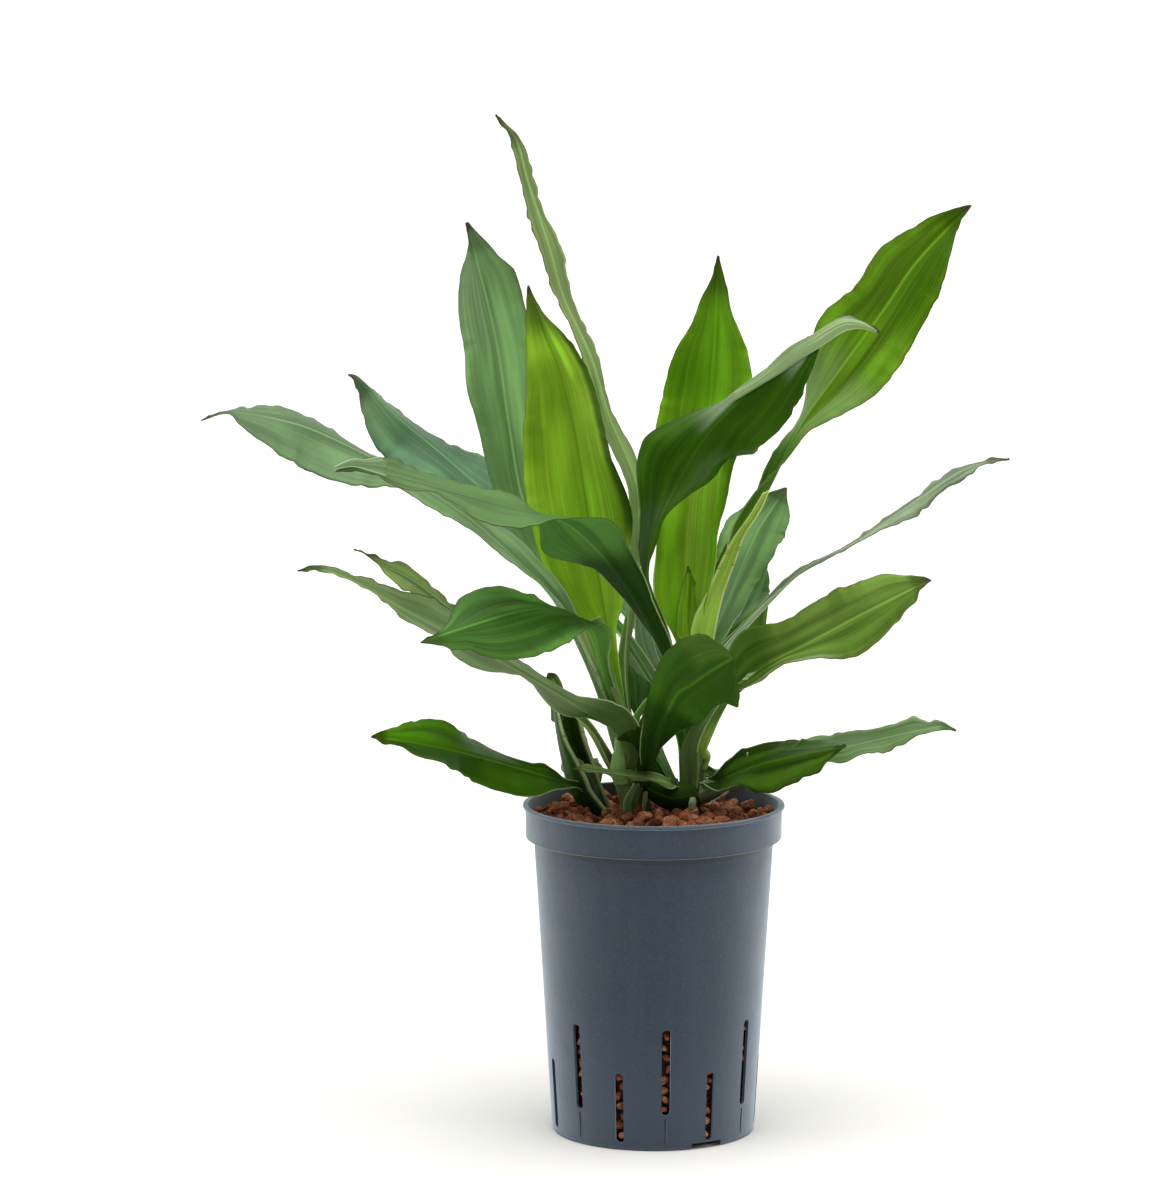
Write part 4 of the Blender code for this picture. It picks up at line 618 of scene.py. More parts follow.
SHEATHS = [
    Sheath("sheath_right_channel", green=(0.08, 0.14, 0.04), rib=1, bulge=0,
           rows=[(14.5, 6.5, 196, 25, 2, 196, 26.5, 8, 196), (15, 6.5, 208, 25.5, 2, 207.5, 27, 8, 207),
                 (15, 6.5, 218.5, 25.5, 1, 217, 29, 7, 216),
                 (17.5, 7, 226.5, 26.5, -1, 226, 31.5, 5, 225),
                 (21.5, 7, 233.5, 29.5, -3, 235, 35, 3, 233.5),
                 (26, 7, 239.5, 34, -6, 241.5, 37.5, -1, 240),
                 (30, 7, 246, 38, -10, 248.5, 40.5, -5, 247.5)]),
    Sheath("sheath_right_inner", green=(0.02, 0.08, 0.003), tint="young", edging=(1, 1.2), rib=0.3,
           bulge=0,
           rows=[(15, 8, 198, 17, 7.5, 198, 19, 7.5, 198),
                 (14.5, 8, 211, 17.5, 7.5, 211, 20.5, 7.5, 211),
                 (14, 8, 220.5, 18, 7.5, 220.5, 22, 7.5, 222.5),
                 (12.5, 9, 227.5, 18, 8, 228, 25, 8, 231), (9.5, 10, 234, 17.5, 8.5, 235.5, 27, 8, 237),
                 (6, 12, 244.5, 16, 9, 246, 29, 8.5, 246)]),
    Sheath("sheath_right_low_blade", green=(0.13, 0.24, 0.07), edging=(1.2, 0),
           rows=[(13, 4, 196.5, 14.5, 4, 197, 16.5, 4, 197.5),
                 (7.5, 3, 204.5, 10.5, 2.5, 204.5, 13, 3, 203.5),
                 (3, 3, 212, 6.5, 2.5, 212.5, 9.5, 3, 211), (-1, 4, 218.5, 2.5, 3.5, 218.5, 6, 5, 219),
                 (-2, 5, 223, 1.5, 6, 223.5, 4, 7, 224.5)]),
    Sheath("sheath_middle_low_web", green=(0.02, 0.16, 0.002), bulge=0.3,
           rows=[(3.5, 6, 196.5, 8.5, 5, 195.5, 13.5, 5, 196),
                 (-3, 6, 205.5, 2.5, 5, 205.5, 8, 4.5, 204.5), (-6, 7, 214, -2, 5, 214, 3.5, 4.5, 212),
                 (-6, 8, 222.5, -3, 7, 222, 0, 6, 221)]),
    Sheath("sheath_low_stub", green=(0.012, 0.03, 0.006), bulge=1,
           rows=[(26.5, 5, 200, 26.5, 1.5, 194.5, 26.5, 5, 187),
                 (19.5, 3.5, 200.5, 19.5, 0, 194, 19.5, 4, 186),
                 (10.5, 3, 199.5, 10.5, -1, 193, 10.5, 4, 185), (2, 4, 201.5, 2, 0, 196, 2, 4, 188.5),
                 (-4.5, 6, 203.5, -5, 4, 199, -5, 6, 194)]),
    Sheath("sheath_bottom_right_neck", green=(0.17, 0.25, 0.12), edging=(0.8, 0), bulge=1,
           rows=[(25, 6, 200.5, 25, 1, 194.5, 25, 5, 187), (31.5, 4, 203.5, 31.5, -2, 198, 32, 3, 190),
                 (39, -2, 209, 39, -8, 203, 39, -3, 194.5),
                 (46.5, -12, 216.5, 46.5, -17, 209.5, 46.5, -12, 199),
                 (53, -22, 223.5, 53, -25, 214.5, 54, -22, 202.5)]),
    Sheath("sheath_bud", green=(0.44, 0.6, 0.33), tint="young", bulge=0.6,
           rows=[(20, -1, 186, 22, -3, 186.5, 24, -1, 186), (20, -2, 191, 22, -4, 191.5, 24.5, -2, 191),
                 (21, -1, 193.5, 22.5, -3, 194, 24, -1, 193.5)]),
    Sheath("sheath_pale_blade", green=(0.65, 0.65, 0.65), tint="young", bulge=0.2,
           rows=[(31, -4, 189.5, 32, -4, 190, 32.5, -4, 191.5),
                 (36, -6, 193.5, 37, -6, 194, 38.5, -6, 195.5),
                 (43.5, -8, 198.5, 44, -8, 199.5, 44.5, -8, 201),
                 (49.5, -9, 202, 49.5, -9, 202.5, 50, -9, 203.5)]),
    Sheath("sheath_middle_dark", green=(0.17, 0.32, 0.12), edging=(1.3, 0), bulge=0.8,
           rows=[(-17, 4, 183, -12.5, -1, 183, -7, 4, 183),
                 (-17.5, 3, 190.5, -12.5, -2, 191, -7, 3, 190.5),
                 (-14.5, 2, 196.5, -10.5, -1, 197, -6.5, 3, 196.5),
                 (-11.5, 2, 201.5, -8.5, 0, 201.5, -5.5, 3, 201)]),
    Sheath("sheath_middle_sliver", green=(0.65, 0.65, 0.34), tint="bluish", bulge=0.2,
           rows=[(-7.5, 1, 184.5, -6, 0, 185, -5, 2, 185), (-6.5, 1, 191.5, -5, 0, 192, -3.5, 2, 191.5),
                 (-6, 2, 196, -4.5, 1, 197, -3, 3, 196)]),
    Sheath("sheath_middle_green", green=(0.21, 0.31, 0.1), bulge=0.8,
           rows=[(-18, 7, 183, -15, 4, 183, -12, 6, 183), (-20, 7, 191.5, -17, 4, 192, -13, 5, 192.5),
                 (-22, 7, 198.5, -19.5, 4, 199, -13, 5, 199.5),
                 (-24, 7, 204.5, -20.5, 5, 205, -14, 6, 205.5)]),
    Sheath("sheath_middle_round", green=(0.32, 0.55, 0.17), tint="young", edging=(0.6, 0), bulge=1.2,
           rows=[(-22.5, 6, 199.5, -18.5, 2, 200, -14, 5, 200),
                 (-25, 5, 207, -20, -1, 208, -14.5, 4, 208.5),
                 (-24.5, 4, 214.5, -19.5, -2, 215.5, -14.5, 3, 216),
                 (-22.5, 4, 221.5, -19.5, -1, 221.5, -15.5, 3, 221),
                 (-22.5, 4, 227.5, -20.5, 1, 227, -17, 3, 225)]),
    # A near-black sheet for the shade in the hollow between the middle cane's sheaths: painted shade.
    Sheath("sheath_middle_shade_sheet", green=(0.005, 0.014, 0.004), bulge=0,
           rows=[(-16, 6.5, 200, -12.5, 6.5, 200, -5, 6.5, 200),
                 (-15.5, 6.5, 211, -12.5, 6.5, 211, -5, 6.5, 211),
                 (-16, 6.5, 221.5, -12, 6.5, 220.5, -5, 6.5, 219.5)]),
    Sheath("sheath_middle_front", green=(0.02, 0.06, 0.007), edging=(0.6, 0), bulge=0.8,
           rows=[(-9.5, 3, 199, -6, -1, 199.5, -0.5, 3, 200), (-10, 2, 209, -6, -2, 209.5, -1, 2, 210),
                 (-11.5, 0, 217.5, -6, -4, 219, -0.5, 0, 219.5),
                 (-15.5, -3, 223.5, -8, -8, 227.5, 0.5, -5, 226.5),
                 (-21.5, -8, 228, -11.5, -12, 236.5, -2.5, -12, 235.5)]),
    Sheath("sheath_front_left_neck", green=(0.27, 0.42, 0.12), edging=(4, 0), bulge=0.8,
           rows=[(-10.5, 4, 214.5, -8, 2, 214.5, -4.5, 4, 215.5),
                 (-15.5, 1, 225.5, -11.5, -4, 226, -7, 0, 228),
                 (-21, -3, 237.5, -16.5, -8, 238.5, -12.5, -4, 237.5),
                 (-25, -5, 247, -21, -10, 248.5, -17, -6, 248.5),
                 (-28.5, -7, 253, -24.5, -12, 257, -20.5, -8, 259),
                 (-33, -9, 265, -28.5, -14, 269.5, -24, -10, 271.5),
                 (-38.5, -11, 277, -32.5, -16, 280, -26.5, -12, 280.5),
                 (-43, -14, 286.5, -35.5, -18, 290, -28, -14, 291),
                 (-46, -18, 294, -37.5, -22, 298, -30.5, -18, 301)]),
    Sheath("sheath_spike_low", green=(0.08, 0.16, 0.02), edging=(1, 0.6), bulge=0.3,
           rows=[(-13, 0, 229, -11, -2, 228.5, -7.5, 0, 229),
                 (-10, -1, 235, -8.5, -3, 235, -5.5, -1, 235.5),
                 (-6, -1, 242, -6, -1.5, 242, -5.5, -1, 242)]),
    Sheath("sheath_spike_high", green=(0.18, 0.41, 0.04), edging=(1.1, 0), bulge=0.3,
           rows=[(-15, 2, 232, -12, 0, 232, -9.5, 2, 231.5), (-12, 1, 240, -9.5, -1, 240, -7.5, 1, 240),
                 (-8, 0, 246.5, -6.5, -1, 246.5, -4.5, 0, 246.5),
                 (-4.5, 0, 251, -3.5, -1, 251, -2, 0, 250.5)]),
    Sheath("sheath_back_pale", green=(0.24, 0.36, 0.2), tint="bluish", edging=(0.8, 0.8), bulge=0.4,
           rows=[(-2, 26, 262, 1, 25, 263.5, 5, 26, 266.5),
                 (-7, 28, 271, -3, 27, 272.5, 2.5, 28, 271.5),
                 (-10.5, 30, 280, -6, 29, 282, 0, 30, 280),
                 (-10.5, 32, 290, -7.5, 31, 291.5, -4, 32, 290),
                 (-10, 34, 299, -9, 34, 299, -7.5, 34, 299)]),
    Sheath("sheath_back_dark", green=(0.17, 0.31, 0.12), edging=(0, 1.2), rib=0.3, bulge=0.3,
           rows=[(-0.5, 24, 252, 1.5, 23, 254.5, 4.5, 24, 257.5),
                 (-7, 25, 262, -4, 24, 264.5, -1, 25, 267),
                 (-12.5, 26, 271.5, -10, 25, 273.5, -7, 26, 276),
                 (-17, 27, 280.5, -15, 26, 283, -13, 27, 284)]),
    Sheath("sheath_back_grey", green=(0.21, 0.33, 0.11), tint="bluish", edging=(0.6, 0.6), bulge=0.2,
           rows=[(-3.5, 22, 250, -2, 21, 251.5, 0, 22, 254), (-9, 23, 257, -7, 22, 259.5, -5, 23, 261),
                 (-14, 24, 263.5, -12.5, 23, 267, -10, 24, 269),
                 (-18, 25, 270.5, -16.5, 24, 272.5, -14, 25, 275)]),
    Sheath("sheath_back_shade", green=(0.05, 0.13, 0.02), tint="bluish",
           rows=[(-11, 16, 238, -7.5, 15, 238, -3, 16, 240),
                 (-14, 18, 245.5, -9.5, 16, 246, -2, 18, 247),
                 (-15, 20, 254.5, -9.5, 18, 254, -1, 20, 253.5),
                 (-16, 22, 265, -11, 20, 263, -2, 22, 256.5)]),
    Sheath("sheath_shoot_outer", green=(0.02, 0.06, 0.01), edging=(0, 3.6), bulge=0.6,
           rows=[(-37.5, 10, 182, -30.5, 6, 182.5, -24.5, 8, 182.5),
                 (-43.5, 10, 187, -37, 5, 188.5, -30, 6, 189.5),
                 (-47.5, 10, 194, -41, 4, 195, -35, 5, 196.5),
                 (-50.5, 10, 201.5, -45, 4, 202.5, -38, 4, 204),
                 (-53, 11, 213, -49, 5, 214, -43.5, 4, 214.5),
                 (-55.5, 12, 226, -53, 6, 227, -50, 5, 227),
                 (-57, 13, 237, -55.5, 8, 238, -53.5, 7, 239.5),
                 (-57.5, 15, 247.5, -56.5, 12, 248, -55, 11, 248)]),
    Sheath("sheath_shoot_inner", green=(0.02, 0.06, 0.01), edging=(0, 5), bulge=0,
           rows=[(-29.5, 10, 181, -26, 12, 181.5, -23, 9, 182.5),
                 (-34, 11, 188.5, -30.5, 13, 189, -26.5, 9, 190.5),
                 (-40, 12, 201.5, -36.5, 15, 201, -31.5, 9, 203),
                 (-45, 13, 213, -41.5, 17, 212, -35, 9, 214.5),
                 (-52, 14, 225.5, -47.5, 18, 225, -39, 9, 226.5),
                 (-54.5, 15, 237, -49.5, 18, 236.5, -42, 10, 239),
                 (-55, 17, 247, -51.5, 19, 246.5, -46, 12, 249)]),
    Sheath("sheath_flap_left", green=(0.17, 0.29, 0.12), tint="bluish", edging=(0.9, 0.9), bulge=0.3,
           rows=[(-149, -92, 389, -148, -96, 396.5, -152, -92, 400),
                 (-156.5, -92, 391.5, -155.5, -95, 396.5, -160, -92, 398.5),
                 (-166.5, -92, 394, -165.5, -94, 396.5, -167.5, -92, 398.5),
                 (-177.5, -90, 392.5, -177.5, -91, 393.5, -177.5, -90, 394)]),
    Sheath("sheath_high_channel", green=(0.38, 0.62, 0.08), tint="young", edging=(2.4, 1.5), bulge=-1,
           rows=[(18.5, 13, 275.5, 26, 13, 275.5, 33.5, 13, 275.5),
                 (21.5, 16, 291.5, 29, 16, 292.5, 36.5, 16, 293.5),
                 (29.5, 20, 306.5, 35, 20, 308, 40.5, 20, 309.5),
                 (38.5, 24, 326, 43.5, 24, 327.5, 47.5, 24, 328.5),
                 (45.5, 28, 338.5, 49, 28, 339.5, 52, 28, 340.5),
                 (55.5, 33, 352, 59, 33, 354, 61.5, 33, 355),
                 (63.5, 37, 364.5, 65.5, 37, 365.5, 66.5, 37, 366)]),
    Sheath("sheath_right_curl", green=(0.34, 0.48, 0.22), bulge=0.4,
           rows=[(43.5, -28, 428.5, 43.5, -29, 426.5, 43.5, -29, 423.5),
                 (56, -34, 437, 56.5, -35, 435.5, 58, -35, 433),
                 (65, -38, 447, 67, -39, 444, 69.5, -40, 440.5),
                 (74.5, -42, 456, 77, -43, 452.5, 79.5, -44, 448),
                 (88, -45, 463.5, 89.5, -46, 460.5, 91.5, -47, 456),
                 (103.5, -46, 471.5, 104.5, -47, 469, 105.5, -48, 465),
                 (113.5, -45, 470.5, 114, -46, 468.5, 114.5, -46, 466),
                 (123, -42, 465, 123, -42, 464.5, 123, -42, 463.5)]),
    Sheath("sheath_middle_right_fold", green=(0.19, 0.28, 0.12), bulge=0.4,
           rows=[(47, -15, 261.5, 50.5, -16, 264.5, 53, -15, 267),
                 (55, -17, 261.5, 57.5, -18, 266, 60.5, -17, 269.5),
                 (61.5, -19, 264.5, 63.5, -20, 268.5, 65.5, -19, 272),
                 (67.5, -21, 272, 68, -21, 272.5, 68, -21, 273.5)]),
    Sheath("sheath_dry_scale", green=(0.04, 0.04, 0.015), bulge=0.2,
           rows=[(44, -12, 252.5, 45.5, -12, 254, 46, -12, 255.5),
                 (48.5, -13, 256.5, 49.5, -13, 258, 50.5, -13, 260),
                 (53, -14, 261, 53, -14, 261, 53.5, -14, 262)]),
]

# Curves and easing

def unit(vectors):
    return vectors / np.linalg.norm(vectors, axis=-1, keepdims=True)


def ramp(x, start, length):
    """0 up to start, 1 from start + length on, and smooth between them."""
    x = np.clip((x - start) / length, 0, 1)
    return x * x * (3 - 2 * x)


def eased(s, keys):
    """Values at the shares s, easing between (share, value) keys."""
    places = np.array([key[0] for key in keys], float)
    values = np.array([key[1] for key in keys], float)
    i = np.clip(np.searchsorted(places, s, side="right") - 1, 0, len(keys) - 2)
    t = ramp(s, places[i], places[i + 1] - places[i])
    if values.ndim > 1:
        t = t[:, None]
    return values[i] + (values[i + 1] - values[i]) * t


def smooth_curve(points, per_span=40):
    """A centripetal Catmull-Rom curve through the points."""
    p = np.array(points, float)
    p = np.vstack([2 * p[0] - p[1], p, 2 * p[-1] - p[-2]])
    knots = np.concatenate([[0], np.cumsum(np.linalg.norm(np.diff(p, axis=0), axis=1) ** 0.5)])
    spans = []
    for i in range(1, len(p) - 2):
        t0, t1, t2, t3 = knots[i - 1:i + 3]
        t = np.linspace(t1, t2, per_span, endpoint=False)[:, None]
        a1 = (t1 - t) / (t1 - t0) * p[i - 1] + (t - t0) / (t1 - t0) * p[i]
        a2 = (t2 - t) / (t2 - t1) * p[i] + (t - t1) / (t2 - t1) * p[i + 1]
        a3 = (t3 - t) / (t3 - t2) * p[i + 1] + (t - t2) / (t3 - t2) * p[i + 2]
        b1 = (t2 - t) / (t2 - t0) * a1 + (t - t0) / (t2 - t0) * a2
        b2 = (t3 - t) / (t3 - t1) * a2 + (t - t1) / (t3 - t1) * a3
        spans.append((t2 - t) / (t2 - t1) * b1 + (t - t1) / (t2 - t1) * b2)
    return np.vstack(spans + [p[-2][None]])


def curve_lengths(curve):
    return np.concatenate([[0], np.cumsum(np.linalg.norm(np.diff(curve, axis=0), axis=1))])


def along(curve, s):
    """Points at the shares s of the curve's length."""
    lengths = curve_lengths(curve)
    at = np.clip(s, 0, 1) * lengths[-1]
    return np.stack([np.interp(at, lengths, curve[:, k]) for k in range(3)], axis=1)


# Meshes

def linked(name, data):
    """An object of this data, in the scene."""
    thing = bpy.data.objects.new(name, data)
    bpy.context.scene.collection.objects.link(thing)
    return thing


def joined(parts):
    """The points and faces of several parts as one."""
    points, faces = [], []
    for part_points, part_faces in parts:
        faces += [tuple(i + len(points) for i in face) for face in part_faces]
        points += list(part_points)
    return points, faces


def add_mesh(name, points, faces, finish):
    """A mesh object from points in millimetres, its faces turned outward."""
    mesh = bpy.data.meshes.new(name)
    mesh.from_pydata((np.array(points, float) * MM).tolist(), [], faces)
    shape = bmesh.new()
    shape.from_mesh(mesh)
    bmesh.ops.recalc_face_normals(shape, faces=shape.faces)
    shape.to_mesh(mesh)
    shape.free()
    mesh.materials.append(finish)
    return linked(name, mesh)


def add_values(mesh, name, values):
    layer = mesh.attributes.new(name, "FLOAT", "POINT")
    layer.data.foreach_set("value", np.asarray(values, np.float32).ravel())


def smooth_faces(thing, sharp_angle):
    thing.data.shade_smooth()
    thing.data.set_sharp_from_angle(angle=radians(sharp_angle))


def circle(radius, z, count, centre=(0.0, 0.0)):
    angles = [2 * pi * k / count for k in range(count)]
    return [(centre[0] + radius * cos(angle), centre[1] + radius * sin(angle), z) for angle in angles]


def turned(profile, segments):
    """A closed solid turned about Z from (radius, height) points, the first and last on the axis."""
    points = [(0, 0, profile[0][1])]
    for radius, z in profile[1:-1]:
        points += circle(radius, z, segments)
    points.append((0, 0, profile[-1][1]))
    last = len(points) - 1
    top = last - segments
    ring = [(k, (k + 1) % segments) for k in range(segments)]
    faces = [(0, 1 + k, 1 + n) for k, n in ring]
    for low in range(1, top, segments):
        high = low + segments
        faces += [(low + k, high + k, high + n, low + n) for k, n in ring]
    faces += [(top + k, last, top + n) for k, n in ring]
    return points, faces


def prism(outline, angle, start, reach):
    """A prism from an outline of points across and up, pushed outward at an angle from the front."""
    out = np.array([sin(radians(angle)), -cos(radians(angle)), 0.0])
    across = np.array([cos(radians(angle)), sin(radians(angle)), 0.0])
    low = [out * start + across * a + np.array([0.0, 0.0, b]) for a, b in outline]
    high = [point + out * reach for point in low]
    count = len(outline)
    faces = [tuple(range(count)), tuple(range(2 * count - 1, count - 1, -1))]
    faces += [(k, k + count, (k + 1) % count + count, (k + 1) % count) for k in range(count)]
    return low + high, faces


# Leaf shape

def cane_at(cane, z):
    """The cane's centre and radius at a height."""
    axis = np.array(cane.axis, float)
    x, y = (np.interp(z, axis[:, 2], axis[:, k]) for k in range(2))
    return np.array([x, y, z], float), float(np.interp(z, axis[:, 2], cane.radii))


def midrib(leaf):
    """The leaf's midrib curve, the direction from the cane out to its foot, and the cane's radius."""
    cane = CANES[leaf.cane]
    foot, radius = cane_at(cane, leaf.foot)
    above, _ = cane_at(cane, leaf.foot + CLASP_LENGTH)
    up = unit(above - foot)
    out = np.array([sin(radians(leaf.side)), -cos(radians(leaf.side)), 0.0])
    out = unit(out - up * (out @ up))
    start = foot + out * (radius + FOOT_CLEARANCE)
    leave = foot + up * CLASP_LENGTH + out * (radius + FOOT_CLEARANCE + leaf.lean)
    return smooth_curve([start, leave] + leaf.route), out, radius


def edge_values(s, shares, left, right, at_foot, at_tip):
    """The two edges' values at the shares s, on a smooth curve through those at the given shares."""
    keys = [(0, at_foot, at_foot), *zip_longest(shares, left, right, fillvalue=0), (1, at_tip, at_tip)]
    edge = smooth_curve([(at * SHARE_SCALE, minus, plus) for at, minus, plus in keys])
    return [np.interp(s * SHARE_SCALE, edge[:, 0], edge[:, k]) for k in (1, 2)]


def crinkle(leaf, s, length, side):
    """Fine ripples of one edge along the leaf, stronger towards the tip."""
    run = s * length
    shift = CRINKLE_SHIFT * side + leaf.foot
    beat = 1 - BEAT_DEPTH + BEAT_DEPTH * np.sin(2 * pi * run / CRINKLE_BEAT + shift)
    waves = np.sin(2 * pi * run / CRINKLE_LENGTH + CRINKLE_SWAY * np.sin(run / CRINKLE_DRIFT + shift))
    waves += OVERTONE_HEIGHT * np.sin(2 * pi * run / (OVERTONE_LENGTH * CRINKLE_LENGTH) + 3 * shift)
    growth = CRINKLE_LEAST + (1 - CRINKLE_LEAST) * ramp(s, *CRINKLE_GROWTH)
    return CRINKLE_HEIGHT * growth * beat * waves * ramp(s, *CRINKLE_ONSET)


def leaf_grid(leaf, s, v):
    """Points of the upper face, the blade's length, and each point's way from the midrib and margin."""
    curve, out, radius = midrib(leaf)
    length = curve_lengths(curve)[-1]
    centre = along(curve, s)
    tangent = unit(along(curve, s + TANGENT_STEP) - along(curve, s - TANGENT_STEP))
    facing = [(0.0, -out), (CLASP_SHARE, -out)]
    facing += [(at, unit(np.array(way, float))) for at, way in zip(leaf.face_at[-len(leaf.face):], leaf.face)]
    normal = eased(s, facing)
    normal = unit(normal - tangent * np.sum(normal * tangent, axis=1, keepdims=True))
    sideways = np.cross(tangent, normal)
    halves = edge_values(s, HALF_SHARES, leaf.left, leaf.right, FOOT_WIDTH / 2, TIP_WIDTH / 2)
    lifts = edge_values(s, LIFT_SHARES, leaf.lift_left, leaf.lift_right, 0, 0)
    lift_way = unit(np.cross(tangent, FRONT_VIEW))
    clasp = np.degrees(FOOT_WIDTH / 2 / (radius + FOOT_CLEARANCE))
    neck = leaf.neck * NECK_SHARE
    folds = zip(leaf.fold_at[-len(leaf.fold):], leaf.fold)
    fold = np.radians(eased(s, [(0, 0), (neck, PETIOLE_FOLD), *folds]))
    curl = np.radians(eased(s, [(0, clasp), (neck, PETIOLE_CURL), *leaf.curl]))
    onward = np.clip((s - WAVE_START) / (1 - WAVE_START), 0, 1)
    swing = leaf.wave * np.sin(pi * onward) ** WAVE_GROWTH
    steps = (np.arange(CURL_STEPS) + 0.5) / CURL_STEPS
    groove = MIDRIB_GROOVE * ramp(s, *GROOVE_ONSET)
    points = np.zeros((len(s), len(v), 3))
    spread = np.zeros((len(s), len(v)))
    for j, across in enumerate(v):
        reach, edge = abs(across), int(across >= 0)
        half = halves[edge]
        bend = fold[:, None] + curl[:, None] * steps * reach
        wide = np.cos(bend).mean(axis=1) * reach * half
        rise = np.sin(bend).mean(axis=1) * reach * half
        ripple = swing * reach ** 2 * np.sin(2 * pi * WAVE_COUNT * s + WAVE_OFFSET * edge)
        ripple += crinkle(leaf, s, length, edge) * reach ** 3
        spread[:, j] = np.sign(across) * reach * half
        dip = groove * np.exp(-(reach * half / MIDRIB_WIDTH) ** 2)
        outward = np.sign(across) * wide
        points[:, j] = centre + sideways * outward[:, None] + normal * (rise + ripple - dip)[:, None]
        points[:, j] += lift_way * (lifts[edge] * reach ** LIFT_GROWTH)[:, None]
    rim = np.where(v[None, :] < 0, halves[0][:, None], halves[1][:, None]) - np.abs(spread)
    return points, length, spread, rim


def surface_normals(points):
    """Unit normals of a grid of points, on the leaf's upper side."""
    return unit(np.cross(np.gradient(points, axis=1), np.gradient(points, axis=0)))


def leaf_thickness(s, spread, rim):
    """Thickness over the grid: a thin edge, a keeled midrib and a fleshy foot."""
    blade = EDGE_THICKNESS + (BLADE_THICKNESS - EDGE_THICKNESS) * ramp(rim, 0, EDGE_BEVEL)
    keel = RIB_THICKNESS * np.exp(-(spread / (KEEL_WIDTH * MIDRIB_WIDTH)) ** 2) * (1 - KEEL_LOSS * s[:, None])
    fleshy = BASE_THICKNESS * (1 - ramp(s, 0, FLESHY_SHARE))[:, None] * ramp(rim, 0, FLESHY_BEVEL)
    return blade + keel + fleshy


def shell(name, upper, thickness, values, finish):
    """A closed shell under a grid of points, with named values kept for its material."""
    lower = upper - surface_normals(upper) * thickness[:, :, None]
    rows, columns = upper.shape[:2]
    points = np.concatenate([upper.reshape(-1, 3), lower.reshape(-1, 3)]) * MM
    below = rows * columns
    faces = []
    for i in range(rows - 1):
        for j in range(columns - 1):
            a = i * columns + j
            corner = (a, a + 1, a + columns + 1, a + columns)
            faces.append(corner)
            faces.append(tuple(k + below for k in reversed(corner)))
    edge = [i * columns for i in range(rows)]
    edge += [(rows - 1) * columns + j for j in range(1, columns)]
    edge += [i * columns + columns - 1 for i in range(rows - 2, -1, -1)]
    edge += [j for j in range(columns - 2, 0, -1)]
    faces += [(a, b, b + below, a + below) for a, b in zip(edge, edge[1:] + edge[:1])]
    mesh = bpy.data.meshes.new(name)
    mesh.from_pydata(points.tolist(), [], faces)
    mesh.shade_smooth()
    for key, grid in values.items():
        grid = np.broadcast_to(grid, (rows, columns)).ravel()
        add_values(mesh, key, np.concatenate([grid, grid]))
    add_values(mesh, "under", np.repeat([0.0, 1.0], below))
    mesh.materials.append(finish)
    blade = linked(name, mesh)
    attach(blade, "root")
    return blade


def build_leaf(leaf, finish):
    """A leaf blade, with its place along and across kept for its material."""
    s = np.linspace(0, 1, LEAF_STATIONS)
    even = np.linspace(-1, 1, LEAF_COLUMNS)
    v = np.sign(even) * np.abs(even) ** COLUMN_CROWDING
    upper, length, spread, rim = leaf_grid(leaf, s, v)
    share = s[:, None]
    values = {"share": share, "run": share * length, "across": v[None, :], "spread": spread, "rim": rim}
    blade = shell("fine_" + leaf.name, upper, leaf_thickness(s, spread, rim), values, finish)
    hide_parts(leaf.name)


def build_sheath(sheath, finish):
    """A leaf base, lofted through its rows."""
    rows = np.array(sheath.rows, float).reshape(-1, 3, 3)
    left, fold, right = (smooth_curve(rows[:, k], SHEATH_SPAN) for k in range(3))
    v = np.linspace(-1, 1, SHEATH_COLUMNS)
    grid = np.zeros((len(fold), len(v), 3))
    spread, rim = np.zeros(grid.shape[:2]), np.zeros(grid.shape[:2])
    for j, across in enumerate(v):
        reach = abs(across)
        side = left if across < 0 else right
        grid[:, j] = fold + (side - fold) * reach
        grid[:, j, 1] -= sheath.bulge * 4 * reach * (1 - reach)
        half = np.linalg.norm(side - fold, axis=1)
        spread[:, j] = np.sign(across) * reach * half
        margin = sheath.edging[int(across > 0)]
        rim[:, j] = half * (1 - reach) / margin if margin else NO_MARGIN
    run = curve_lengths(fold)[:, None]
    values = {"share": SHEATH_SHARE, "run": run, "across": v[None, :], "spread": spread, "rim": rim}
    thickness = np.full(rim.shape, SHEATH_THICKNESS)
    blade = shell("fine_" + sheath.name, grid, thickness, values, finish)


# Materials

